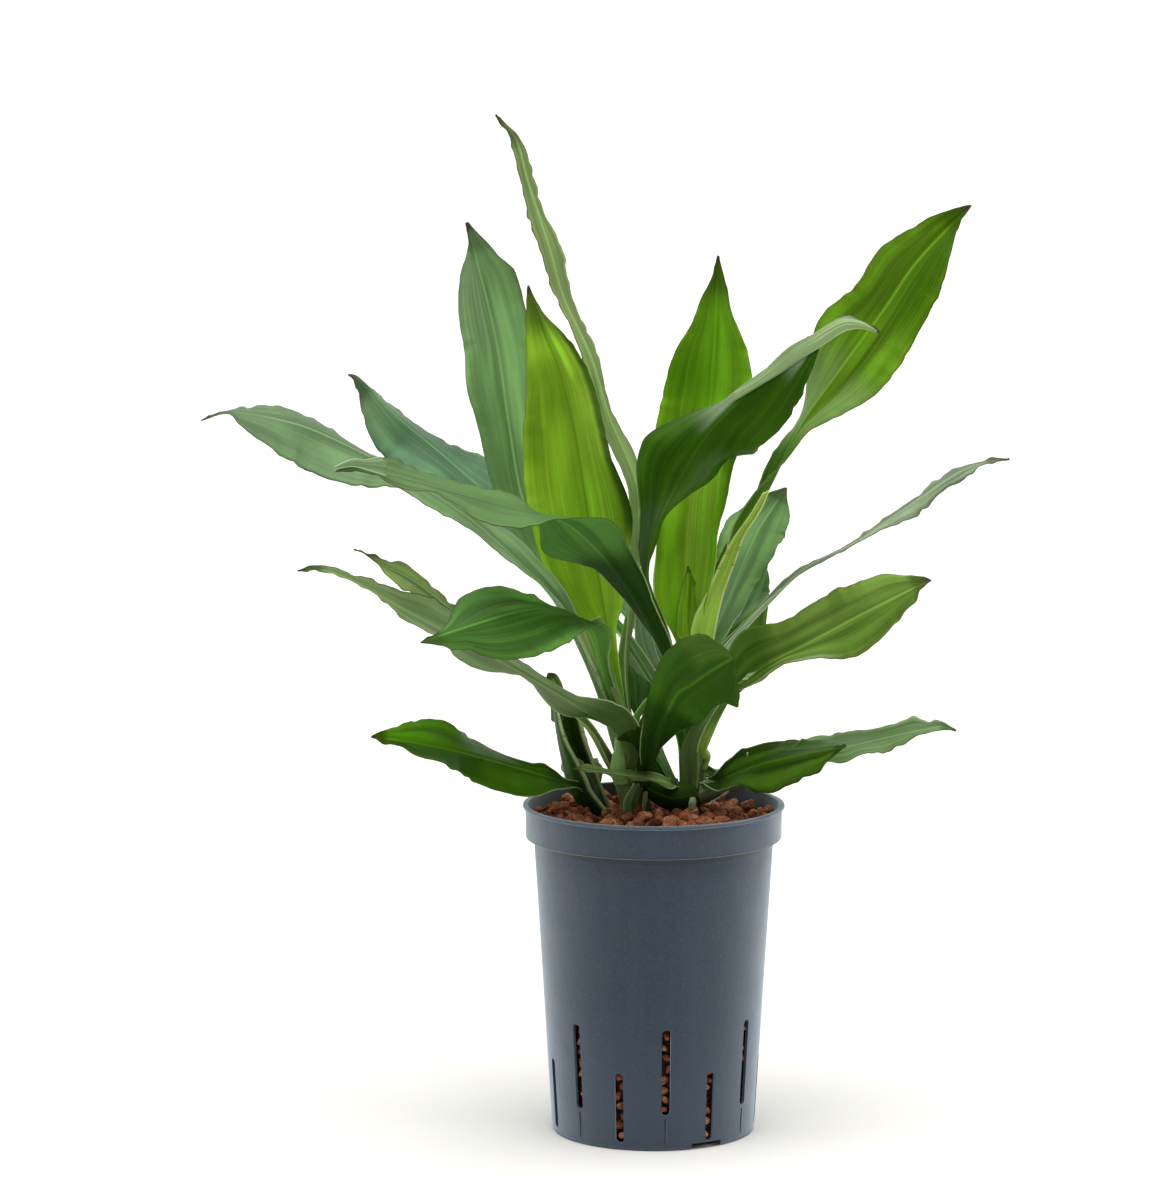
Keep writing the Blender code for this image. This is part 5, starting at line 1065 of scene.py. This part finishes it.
class Nodes:
    """Short calls for making the nodes of a material or a world."""

    def __init__(self, owner, output="OutputMaterial"):
        owner.use_nodes = True
        self.owner = owner
        self.tree = owner.node_tree
        self.tree.nodes.clear()
        self.output = self.add(output)

    def add(self, kind, values=None, **settings):
        node = self.tree.nodes.new("ShaderNode" + kind)
        for key, value in settings.items():
            setattr(node, key, value)
        for key, value in (values or {}).items():
            self.put(node.inputs[key], value)
        return node

    def put(self, socket, value):
        if isinstance(value, bpy.types.NodeSocket):
            self.tree.links.new(value, socket)
        elif isinstance(value, tuple) and len(value) == 3 and socket.type == "RGBA":
            socket.default_value = (*value, 1.0)
        else:
            socket.default_value = value

    def value(self, name):
        return self.add("Attribute", attribute_name=name).outputs["Fac"]

    def math(self, operation, a, b=0.0):
        return self.add("Math", {0: a, 1: b}, operation=operation).outputs[0]

    def times(self, a, b):
        return self.math("MULTIPLY", a, b)

    def mix(self, factor, a, b, blend="MIX"):
        values = {"Factor": factor, "A": a, "B": b}
        node = self.add("Mix", data_type="RGBA", blend_type=blend)
        for key, value in values.items():
            self.put(node.inputs[key], value)
        return node.outputs["Result"]

    def span(self, value, low, high, to_low=0.0, to_high=1.0):
        """Eases from to_low to to_high while the value goes from low to high."""
        values = {"Value": value, "From Min": low, "From Max": high, "To Min": to_low, "To Max": to_high}
        return self.add("MapRange", values, interpolation_type="SMOOTHSTEP", clamp=True).outputs["Result"]

    def between(self, value, low, high, soft):
        """1 where the value is between low and high, with soft ends."""
        rise = self.span(value, low - soft, low + soft)
        fall = self.span(value, high + soft, high - soft)
        return self.times(rise, fall)

    def veil(self, color, over, value, low, high, strength=1.0, where=None):
        """Lays a colour over another, more as the value goes from low to high."""
        cover = self.span(value, low, high, 0.0, strength)
        if where is not None:
            cover = self.times(cover, where)
        return self.mix(cover, color, over)

    def noise(self, vector, scale, detail=2.0, roughness=0.5):
        values = {"Vector": vector, "Scale": scale, "Detail": detail, "Roughness": roughness}
        return self.add("TexNoise", values).outputs["Fac"]

    def streaks(self, vector, across, along_z):
        scaled = self.add("Mapping", {"Vector": vector, "Scale": (across, across, along_z)})
        return self.noise(scaled.outputs[0], 1.0, 3.0)

    def vector(self, x=0.0, y=0.0, z=0.0):
        return self.add("CombineXYZ", {0: x, 1: y, 2: z}).outputs[0]

    def place(self):
        return self.add("TexCoord").outputs["Object"]

    def bump(self, height, distance, strength=1.0, normal=None):
        values = {"Height": height, "Distance": distance, "Strength": strength}
        if normal is not None:
            values["Normal"] = normal
        return self.add("Bump", values).outputs["Normal"]

    def skin(self, color, roughness, values):
        return self.add("BsdfPrincipled", {"Base Color": color, "Roughness": roughness, **values}).outputs[0]

    def finish(self, shader):
        self.tree.links.new(shader, self.output.inputs["Surface"])
        return self.owner


def material_nodes(name):
    return Nodes(bpy.data.materials.new(name))


def shaded(color, gain, lift=0.0, hue=(1.0, 1.0, 1.0)):
    """A colour made lighter or darker, and moved toward a hue by lift."""
    return tuple(min(1.0, channel * gain + lift * part) for channel, part in zip(color, hue))


def leaf_material(leaf):
    """A leaf's skin: faint parallel veins, a midrib, a thin margin, a pale foot and a dry tip, with painted
    sheen, painted shade beside the midrib and patches of painted shade and highlight.
    """
    tone = TONES[leaf.tint]
    green, hue = leaf.green, tone["sheen"]
    rib_strength = tone["rib"] if leaf.rib is None else leaf.rib
    n = material_nodes(leaf.name)
    across, share, run = n.value("across"), n.value("share"), n.value("run")
    spread, rim, under = n.value("spread"), n.value("rim"), n.value("under")
    away = n.math("ABSOLUTE", spread)

    # Veins run parallel to the margins, broad streaks along the blade, clouds over it, and pale patches of
    # painted sheen
    noises = {"cloud": n.noise(n.place(), CLOUD_SCALE, 3.0)}
    for name, (wide, long, shift, detail, roughness) in VEINS.items():
        place = n.vector(n.times(across, wide), n.times(run, long), leaf.seed + shift)
        noises[name] = n.noise(place, 1.0, detail, roughness)
    fine, broad = noises["fine"], noises["broad"]

    def veiled(color, base, veils):
        for name, low, high, strength, gain, lift in veils:
            color = n.veil(color, shaded(base, gain, lift, hue), noises[name], low, high, strength)
        return color

    dim, lit = tone["streak"]
    top = n.mix(n.span(broad, 0.32, 0.68), shaded(green, dim), shaded(green, lit, 0.006, hue))
    top = veiled(top, green, TOP_VEILS)
    # Painted shade darkens the flanks beside the midrib; a negative rib paints the midrib dark as shade in
    # its groove.
    top = n.veil(top, shaded(green, 0.55), away, *FLANK_SHADE_FADE, 0.35)
    rib_tone = shaded(green, 1.8, 0.05, hue) if rib_strength > 0 else shaded(green, 0.40)
    top = n.veil(top, rib_tone, away, *RIB_FADE, abs(rib_strength))

    pale = shaded(green, tone["back"], tone["back_lift"], hue)
    back = n.mix(n.span(broad, *MIDDLE), shaded(pale, 0.64), shaded(pale, 1.35))
    back = veiled(back, pale, BACK_VEILS)
    back = n.veil(back, shaded(pale, 1.5, 0.06, hue), away, *RIB_FADE, 0.65)
    color = n.mix(under, top, back)

    # Patches: mostly painted shade where the blade lies in shadow and painted highlight where it catches the
    # light.
    for start, end, patch, strength, *width in leaf.patches:
        area = n.times(n.between(share, start, end, PATCH_SOFT),
                       n.between(across, *(width or WHOLE_WIDTH), PATCH_SIDE))
        streaked = n.mix(n.span(fine, 0.4, 0.7), shaded(patch, 0.8), shaded(patch, 1.25))
        color = n.mix(n.times(area, strength), color, streaked)

    # Foot, margin and tip
    color = n.veil(color, tone["foot"], share, *PALE_FOOT_FADE, leaf.pale_foot)
    color = n.veil(color, tone["pale_edge"], rim, 0.9, 0.25, 0.85, where=n.span(share, 0.50, 0.25))
    color = n.veil(color, EDGE_BROWN, rim, 0.55, 0.15, tone["edge"], where=n.span(share, 0.30, 0.5))
    flecks = n.noise(n.vector(n.times(run, 0.16), leaf.seed), 1.0, 3.0, 0.7)
    color = n.veil(color, SCORCH, rim, 1.3, 0.2, 0.7, where=n.span(flecks, 0.60, 0.70))
    dark_from, dry_from = leaf.tip
    color = n.veil(color, shaded(green, 0.35), share, dark_from, dark_from + 0.03, 0.75)
    dry = n.span(n.math("ADD", share, n.times(fine, 0.012)), dry_from, dry_from + 0.012)
    color = n.mix(dry, color, DRY_TIP)

    normal = n.bump(broad, 0.003, 0.35, n.bump(fine, 0.0004, 0.45))
    shine = n.span(fine, *MIDDLE, tone["gloss"] - 0.03, tone["gloss"] + 0.05)
    dull = n.math("MAXIMUM", n.times(under, UNDER_ROUGHNESS), n.times(dry, DRY_ROUGHNESS))
    skin = n.skin(color, n.math("MAXIMUM", shine, dull),
                  {"Normal": normal, "Specular IOR Level": tone["specular"], "Specular Tint": hue})
    if not leaf.lets_light_through:
        return n.finish(skin)
    glow = n.mix(1.0, color, tone["glow"], "MULTIPLY")
    through = n.add("BsdfTranslucent", {"Color": glow, "Normal": normal}).outputs[0]
    return n.finish(n.add("MixShader", {0: tone["through"], 1: skin, 2: through}).outputs[0])


def plastic_material():
    """Blue-grey moulded plastic with faint grain and dust, painted floor light low down,
    painted shade in the fold under the band, inside the rim and in the foot notches,
    and a painted highlight on the lip.
    """
    n = material_nodes("pot_plastic_fine")
    place = n.place()
    height = n.add("SeparateXYZ", {0: place}).outputs["Z"]
    flat = n.add("VectorMath", {0: place, 1: (1.0, 1.0, 0.0)}, operation="MULTIPLY").outputs[0]
    radius = n.add("VectorMath", {0: flat}, operation="LENGTH").outputs["Value"]
    mottle = n.noise(place, 60.0, 4.0, 0.6)
    color = n.mix(n.span(mottle, *MIDDLE), PLASTIC, PLASTIC_LIGHT)
    color = n.veil(color, PLASTIC_DUST, n.streaks(place, 90.0, 6.0), 0.45, 0.75, 0.12)
    # Painted reflected floor light: lighter towards the bottom of the wall
    color = n.veil(color, PLASTIC_FLOOR_BOUNCE, height, *FLOOR_BOUNCE_HEIGHTS, 0.65)
    color = n.veil(color, PLASTIC_DUST, n.noise(place, 520.0, 3.0, 0.7), 0.50, 0.72, 0.30)
    # Painted shade in the fold under the rim band
    color = n.veil(color, PLASTIC_SHADE, height, *BAND_SHADE_FROM, 0.85, where=n.span(height, *BAND_SHADE_TO))
    # Painted highlight along the lip
    color = n.veil(color, PLASTIC_LIP_HIGHLIGHT, height, *LIP_HIGHLIGHT, 0.5)
    # Painted shade on the inside wall between the rim and the granules
    color = n.veil(color, PLASTIC_SHADE, radius, *INSIDE_SHADE_WALL, 0.9, where=n.span(height, *INSIDE_SHADE_BAND))
    # Painted shade in the foot notches, under the pot
    color = n.veil(color, PLASTIC_SHADE, height, *NOTCH_SHADE_HEIGHT, 0.9, where=n.span(radius, *NOTCH_SHADE_RADIUS))
    color = n.veil(color, PLASTIC_DUST, n.noise(place, 420.0, 2.0, 0.7), 0.70, 0.76, 0.5)
    normal = n.bump(mottle, 0.0008, 0.25, n.bump(n.noise(place, 900.0), 0.00012, 0.6))
    finish = {"Normal": normal, "IOR": 1.49, "Specular IOR Level": 0.35, "Sheen Weight": 0.85,
              "Sheen Roughness": 0.5, "Sheen Tint": PLASTIC_SHEEN}
    return n.finish(n.skin(color, n.span(mottle, *MIDDLE, 0.42, 0.56), finish))


def clay_material():
    """Rough broken fired clay, each chip its own red-brown."""
    n = material_nodes("fired_clay_fine")
    place = n.place()
    pores = n.noise(place, 700.0, 4.0, 0.7)
    stain = n.noise(place, 160.0, 3.0)
    color = n.mix(n.value("chip"), CLAY_DARK, CLAY_LIGHT)
    color = n.veil(color, CLAY_RED, stain, 0.38, 0.66, 0.7)
    color = n.veil(color, CLAY_PORE, pores, 0.55, 0.40, 0.65)
    color = n.veil(color, CLAY_DUST, n.noise(place, 330.0), 0.62, 0.74, 0.6)
    normal = n.bump(stain, 0.002, 0.5, n.bump(pores, 0.0012, 0.8))
    return n.finish(n.skin(color, 0.92, {"Normal": normal, "Specular IOR Level": 0.25}))


def shade_clay_material():
    """The packed clay deep in the pot, near-black between the chips as painted shade."""
    n = material_nodes("fired_clay_shade")
    grit = n.noise(n.place(), 300.0, 3.0)
    color = n.mix(n.span(grit, *MIDDLE), CLAY_SHADE, CLAY_SHADE_LIGHT)
    return n.finish(n.skin(color, 0.95, {"Normal": n.bump(grit, 0.002)}))


def cane_material():
    """Smooth green stem skin with paler scar rings and long streaks."""
    n = material_nodes("cane_skin_fine")
    place = n.place()
    streak = n.streaks(place, 320.0, 20.0)
    color = n.mix(n.span(streak, 0.35, 0.68), CANE_GREEN, CANE_PALE)
    color = n.veil(color, CANE_BROWN, n.noise(place, 70.0, 3.0), 0.5, 0.7, 0.6)
    color = n.mix(n.times(n.value("ring"), 0.8), color, CANE_SCAR)
    return n.finish(n.skin(color, 0.5, {"Normal": n.bump(streak, 0.0006, 0.5)}))


# Pot

def outer_radius(z):
    """The outside radius of the tapered wall below the rim band."""
    return BASE_RADIUS + (SHOULDER_RADIUS - BASE_RADIUS) * z / SHOULDER_Z


def slot_outline(bottom, top):
    """A slot with round ends, as points across and up."""
    r = SLOT_WIDTH / 2
    ends = []
    for centre, start in ((top - r, 0.0), (bottom + r, pi)):
        for k in range(SLOT_HEAD_SEGMENTS + 1):
            angle = start + pi * k / SLOT_HEAD_SEGMENTS
            ends.append((r * cos(angle), centre + r * sin(angle)))
    return ends


def slot_places():
    """Angle, bottom and top of each water slot."""
    for k in range(SLOT_COUNT):
        bottom, top = HIGH_SLOT if k % 2 == 0 else LOW_SLOT
        yield FIRST_SLOT_ANGLE + 360.0 * k / SLOT_COUNT, bottom, top


def pot_profile():
    """Radius and height, from under the base up the outside, over the lip and down the inside."""
    rim_foot = POT_HEIGHT - LIP_HEIGHT
    inner = BAND_RADIUS - WALL
    return [
        (0, BASE_HOLLOW), (BASE_RADIUS - BASE_RING - 1.0, BASE_HOLLOW), (BASE_RADIUS - BASE_RING, 0.0),
        (BASE_RADIUS - BASE_ROUNDING, 0.0), (BASE_RADIUS - 1.2, 0.35), (BASE_RADIUS - 0.35, 1.2),
        (outer_radius(BASE_ROUNDING), BASE_ROUNDING), (outer_radius(60), 60), (outer_radius(110), 110),
        (SHOULDER_RADIUS + 0.15, BAND_EDGE - 8.0), (SHOULDER_RADIUS + 0.35, BAND_EDGE - 0.4),
        (SHOULDER_RADIUS + 0.7, BAND_EDGE + 0.5), (BAND_RADIUS - 0.7, BAND_EDGE - 0.3),
        (BAND_RADIUS - 0.2, BAND_EDGE), (BAND_RADIUS, BAND_EDGE + 0.7), (BAND_RADIUS + 0.1, rim_foot - 1.0),
        (BAND_RADIUS + 0.4, rim_foot - 0.2), (LIP_RADIUS - 0.3, rim_foot + 0.1), (LIP_RADIUS, rim_foot + 0.5),
        (LIP_RADIUS, POT_HEIGHT - 0.6), (LIP_RADIUS - 0.3, POT_HEIGHT - 0.15), (LIP_RADIUS - 0.9, POT_HEIGHT),
        (inner + 0.6, POT_HEIGHT), (inner + 0.1, POT_HEIGHT - 0.4), (inner, POT_HEIGHT - 1.2),
        (inner, BAND_EDGE + 2.0), (SHOULDER_RADIUS - WALL, BAND_EDGE - 1.0),
        (outer_radius(FLOOR_THICKNESS) - WALL, FLOOR_THICKNESS), (0, FLOOR_THICKNESS),
    ]


def pot_cuts():
    """The water slots, the fine grooves under the high ones, and the foot notches, as prisms."""
    groove_half = GROOVE_WIDTH / 2
    for angle, bottom, top in slot_places():
        start = outer_radius((bottom + top) / 2) - SLOT_CUT_DEPTH / 2
        yield prism(slot_outline(bottom, top), angle, start, SLOT_CUT_DEPTH)
        if bottom == HIGH_SLOT[0]:
            groove = [(-groove_half, GROOVE_BOTTOM), (groove_half, GROOVE_BOTTOM),
                      (groove_half, bottom - GROOVE_GAP), (-groove_half, bottom - GROOVE_GAP)]
            yield prism(groove, angle, outer_radius(GROOVE_BOTTOM) - GROOVE_DEPTH, GROOVE_REACH)
    low = FOOT_NOTCH_WIDTH / 2
    high = low - FOOT_NOTCH_SLOPE
    notch = [(-low, -NOTCH_BELOW), (low, -NOTCH_BELOW), (high, FOOT_NOTCH_HEIGHT), (-high, FOOT_NOTCH_HEIGHT)]
    for k in range(FOOT_NOTCH_COUNT):
        angle = FOOT_NOTCH_ANGLE + 360.0 * k / FOOT_NOTCH_COUNT
        yield prism(notch, angle, BASE_RADIUS - FOOT_NOTCH_DEPTH, FOOT_NOTCH_DEPTH + NOTCH_PAST)


def build_pot(finish):
    pot = add_mesh("fine_pot", *turned(pot_profile(), POT_SEGMENTS), finish)
    cutter = add_mesh("slot_cutter", *joined(pot_cuts()), finish)
    cut = pot.modifiers.new("slots", "BOOLEAN")
    cut.operation = "DIFFERENCE"
    cut.solver = "EXACT"
    cut.object = cutter
    graph = bpy.context.evaluated_depsgraph_get()
    made = bpy.data.meshes.new_from_object(pot.evaluated_get(graph))
    pot.modifiers.clear()
    pot.data = made
    bpy.data.objects.remove(cutter, do_unlink=True)
    smooth_faces(pot, POT_SHARP_ANGLE)
    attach(pot, "root")
    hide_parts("pot")


# Clay granules

def chip_form(rng):
    """One broken chip: a lumpy ball cut flat by a few planes, as points round the origin."""
    shape = bmesh.new()
    bmesh.ops.create_icosphere(shape, subdivisions=2, radius=1.0)
    points = np.array([vertex.co[:] for vertex in shape.verts])
    faces = [tuple(vertex.index for vertex in face.verts) for face in shape.faces]
    shape.free()
    for _ in range(rng.integers(*CHIP_CUTS)):
        way = unit(rng.normal(size=3))
        limit = rng.uniform(*CHIP_CUT_AT)
        over = np.maximum(0.0, points @ way - limit)
        points = points - over[:, None] * way
    points *= 1 + rng.normal(0, CHIP_LUMPS, (len(points), 1))
    return points * np.array([1.0, rng.uniform(*CHIP_DEPTHS), rng.uniform(*CHIP_HEIGHTS)]), faces


def turn_matrix(rng):
    """A random turn about the upright axis after a random tilt."""
    spin = Matrix.Rotation(rng.uniform(0, 2 * pi), 3, "Z")
    tilts = [Matrix.Rotation(rng.normal(0, CHIP_TILT), 3, axis) for axis in "XY"]
    return np.array(spin @ (tilts[0] @ tilts[1]))


def chip_places(rng):
    """Centre and size of each chip: a packed top in layers, and the chips seen through the slots."""
    rim = LIP_RADIUS - BED_INSET
    canes = [cane_at(cane, SOIL_TOP) for cane in CANES.values()]
    for level, step, size in CHIP_LAYERS:
        rows = int(rim / step) + 2
        for i in range(-rows, rows + 1):
            for j in range(-rows, rows + 1):
                x = step * (i + 0.5 * (j % 2)) + rng.uniform(-CHIP_JITTER, CHIP_JITTER) * step
                y = step * CHIP_ROW_PITCH * j + rng.uniform(-CHIP_JITTER, CHIP_JITTER) * step
                r = size * rng.uniform(*CHIP_SIZES)
                if np.hypot(x, y) > rim - RIM_ROOM * r:
                    continue
                if any(np.hypot(x - c[0], y - c[1]) < radius + CANE_ROOM * r for c, radius in canes):
                    continue
                yield np.array([x, y, level + rng.uniform(-CHIP_LEVEL_JITTER, CHIP_LEVEL_JITTER)]), r
    for angle, bottom, top in slot_places():
        z = bottom + SLOT_CHIP_START
        while z < top:
            r = rng.uniform(*SLOT_CHIP_SIZES)
            swing = radians(angle + rng.uniform(-SLOT_CHIP_SWING, SLOT_CHIP_SWING))
            reach = outer_radius(z) - WALL - r * rng.uniform(*SLOT_CHIP_INSET)
            yield np.array([sin(swing) * reach, -cos(swing) * reach, z + r * SLOT_CHIP_RISE]), r
            z += r * rng.uniform(*SLOT_CHIP_STEP)


def build_chips(finish):
    """The loose chips, each with a random value of its own for its colour."""
    rng = np.random.default_rng(CHIP_SEED)
    forms = [chip_form(rng) for _ in range(CHIP_FORMS)]
    parts, own = [], []
    for centre, size in chip_places(rng):
        form, faces = forms[rng.integers(CHIP_FORMS)]
        parts.append((form @ turn_matrix(rng).T * size + centre, faces))
        own += [rng.uniform(0, 1)] * len(form)
    chips = add_mesh("clay_chips", *joined(parts), finish)
    add_values(chips.data, "chip", own)
    smooth_faces(chips, CHIP_SHARP_ANGLE)
    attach(chips, "root")
    return chips


def build_core(finish):
    """The packed clay under the loose chips, out of sight but for the gaps, dark there as painted shade."""
    wall = [(outer_radius(z) - WALL - CORE_GAP, z) for z in CORE_LEVELS]
    core = add_mesh("clay_core", *turned([(0, CORE_LEVELS[0])] + wall + CORE_SHOULDER, CORE_SEGMENTS), finish)
    smooth_faces(core, CORE_SHARP_ANGLE)
    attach(core, "root")
    return core


# Canes

def build_cane(cane, finish):
    """A stem with slight swellings and a scar ring where each old leaf sat."""
    foot, top = cane.axis[0][2], cane.axis[-1][2]
    levels = np.concatenate([[SOIL_TOP - CANE_DEPTH], np.arange(foot - CANE_UNDER, top, CANE_STEP)])
    points, scars, faces = [], [], [tuple(range(CANE_SIDES - 1, -1, -1))]
    for z in levels:
        centre, radius = cane_at(cane, max(z, foot))
        phase = (z - foot) / CANE_RING_STEP
        near = abs(phase - round(phase)) * CANE_RING_STEP
        scar = float(np.exp(-(near / SCAR_WIDTH) ** 2))
        grown = radius * (CANE_SLIMMING - SCAR_DENT * scar + CANE_SWELLING * sin(CANE_SWELLS * phase))
        points += circle(grown, z, CANE_SIDES, centre)
        scars += [scar] * CANE_SIDES
    ring = [(k, (k + 1) % CANE_SIDES) for k in range(CANE_SIDES)]
    last = (len(levels) - 1) * CANE_SIDES
    for low in range(0, last, CANE_SIDES):
        high = low + CANE_SIDES
        faces += [(low + k, low + n, high + n, high + k) for k, n in ring]
    points.append((*cane.axis[-1][:2], top + cane.radii[-1] - CANE_TIP_DROP))
    scars.append(0.0)
    faces += [(last + k, last + n, len(points) - 1) for k, n in ring]
    stem = add_mesh("fine_" + cane.name, points, faces, finish)
    add_values(stem.data, "ring", scars)
    smooth_faces(stem, CANE_SHARP_ANGLE)
    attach(stem, "root")
    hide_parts(cane.name)


# Stage

def build_sun():
    """A broad soft sun from above that looks at the middle of the plant."""
    light = bpy.data.lights.new("overhead", "SUN")
    light.energy = SUN_STRENGTH
    light.angle = radians(SUN_ANGLE)
    lamp = linked("overhead", light)
    lamp.location = SUN_PLACE
    lamp.rotation_euler = (Vector(SUN_AIM) - Vector(SUN_PLACE)).to_track_quat("-Z", "Y").to_euler()


def build_sky():
    """Studio surroundings: bright at the sides, behind and above, dim on the camera's side."""
    n = Nodes(bpy.data.worlds.new("studio"), "OutputWorld")
    way = n.add("SeparateXYZ", {0: n.add("TexCoord").outputs["Generated"]}).outputs
    level = n.math("MAXIMUM", n.span(way["Y"], *SKY_FRONT), n.span(way["Z"], *SKY_TOP))
    bpy.context.scene.world = n.finish(n.add("Background", {"Strength": level}).outputs[0])


def build_floor():
    mesh = bpy.data.meshes.new("floor")
    corners = [(-FLOOR_REACH, -FLOOR_REACH, 0), (FLOOR_REACH, -FLOOR_REACH, 0)]
    corners += [(FLOOR_REACH, FLOOR_REACH, 0), (-FLOOR_REACH, FLOOR_REACH, 0)]
    mesh.from_pydata(corners, [], [(0, 1, 2, 3)])
    n = material_nodes("floor_paper")
    mesh.materials.append(n.finish(n.skin(FLOOR_PAPER, 0.9, {"Specular IOR Level": 0.1})))
    floor = linked("floor", mesh)


def build_camera():
    camera = bpy.data.cameras.new("camera")
    camera.sensor_fit = "VERTICAL"
    camera.sensor_height = SENSOR_HEIGHT
    camera.lens = CAMERA_LENS
    eye = linked("camera", camera)
    eye.location = CAMERA_PLACE
    eye.rotation_euler = (radians(90 - CAMERA_PITCH), 0, 0)
    bpy.context.scene.camera = eye
    bpy.context.scene.view_settings.view_transform = "Standard"


def build():
    build_pot(plastic_material())
    chips = build_chips(clay_material())
    core = build_core(shade_clay_material())
    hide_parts("clay_granules")
    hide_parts("clay_granules")
    skin = cane_material()
    for cane in CANES.values():
        build_cane(cane, skin)
    for leaf in LEAVES:
        build_leaf(leaf, leaf_material(leaf))
    for sheath in SHEATHS:
        build_sheath(sheath, leaf_material(sheath))
    build_floor()
    build_sky()
    build_sun()
    build_camera()


build()
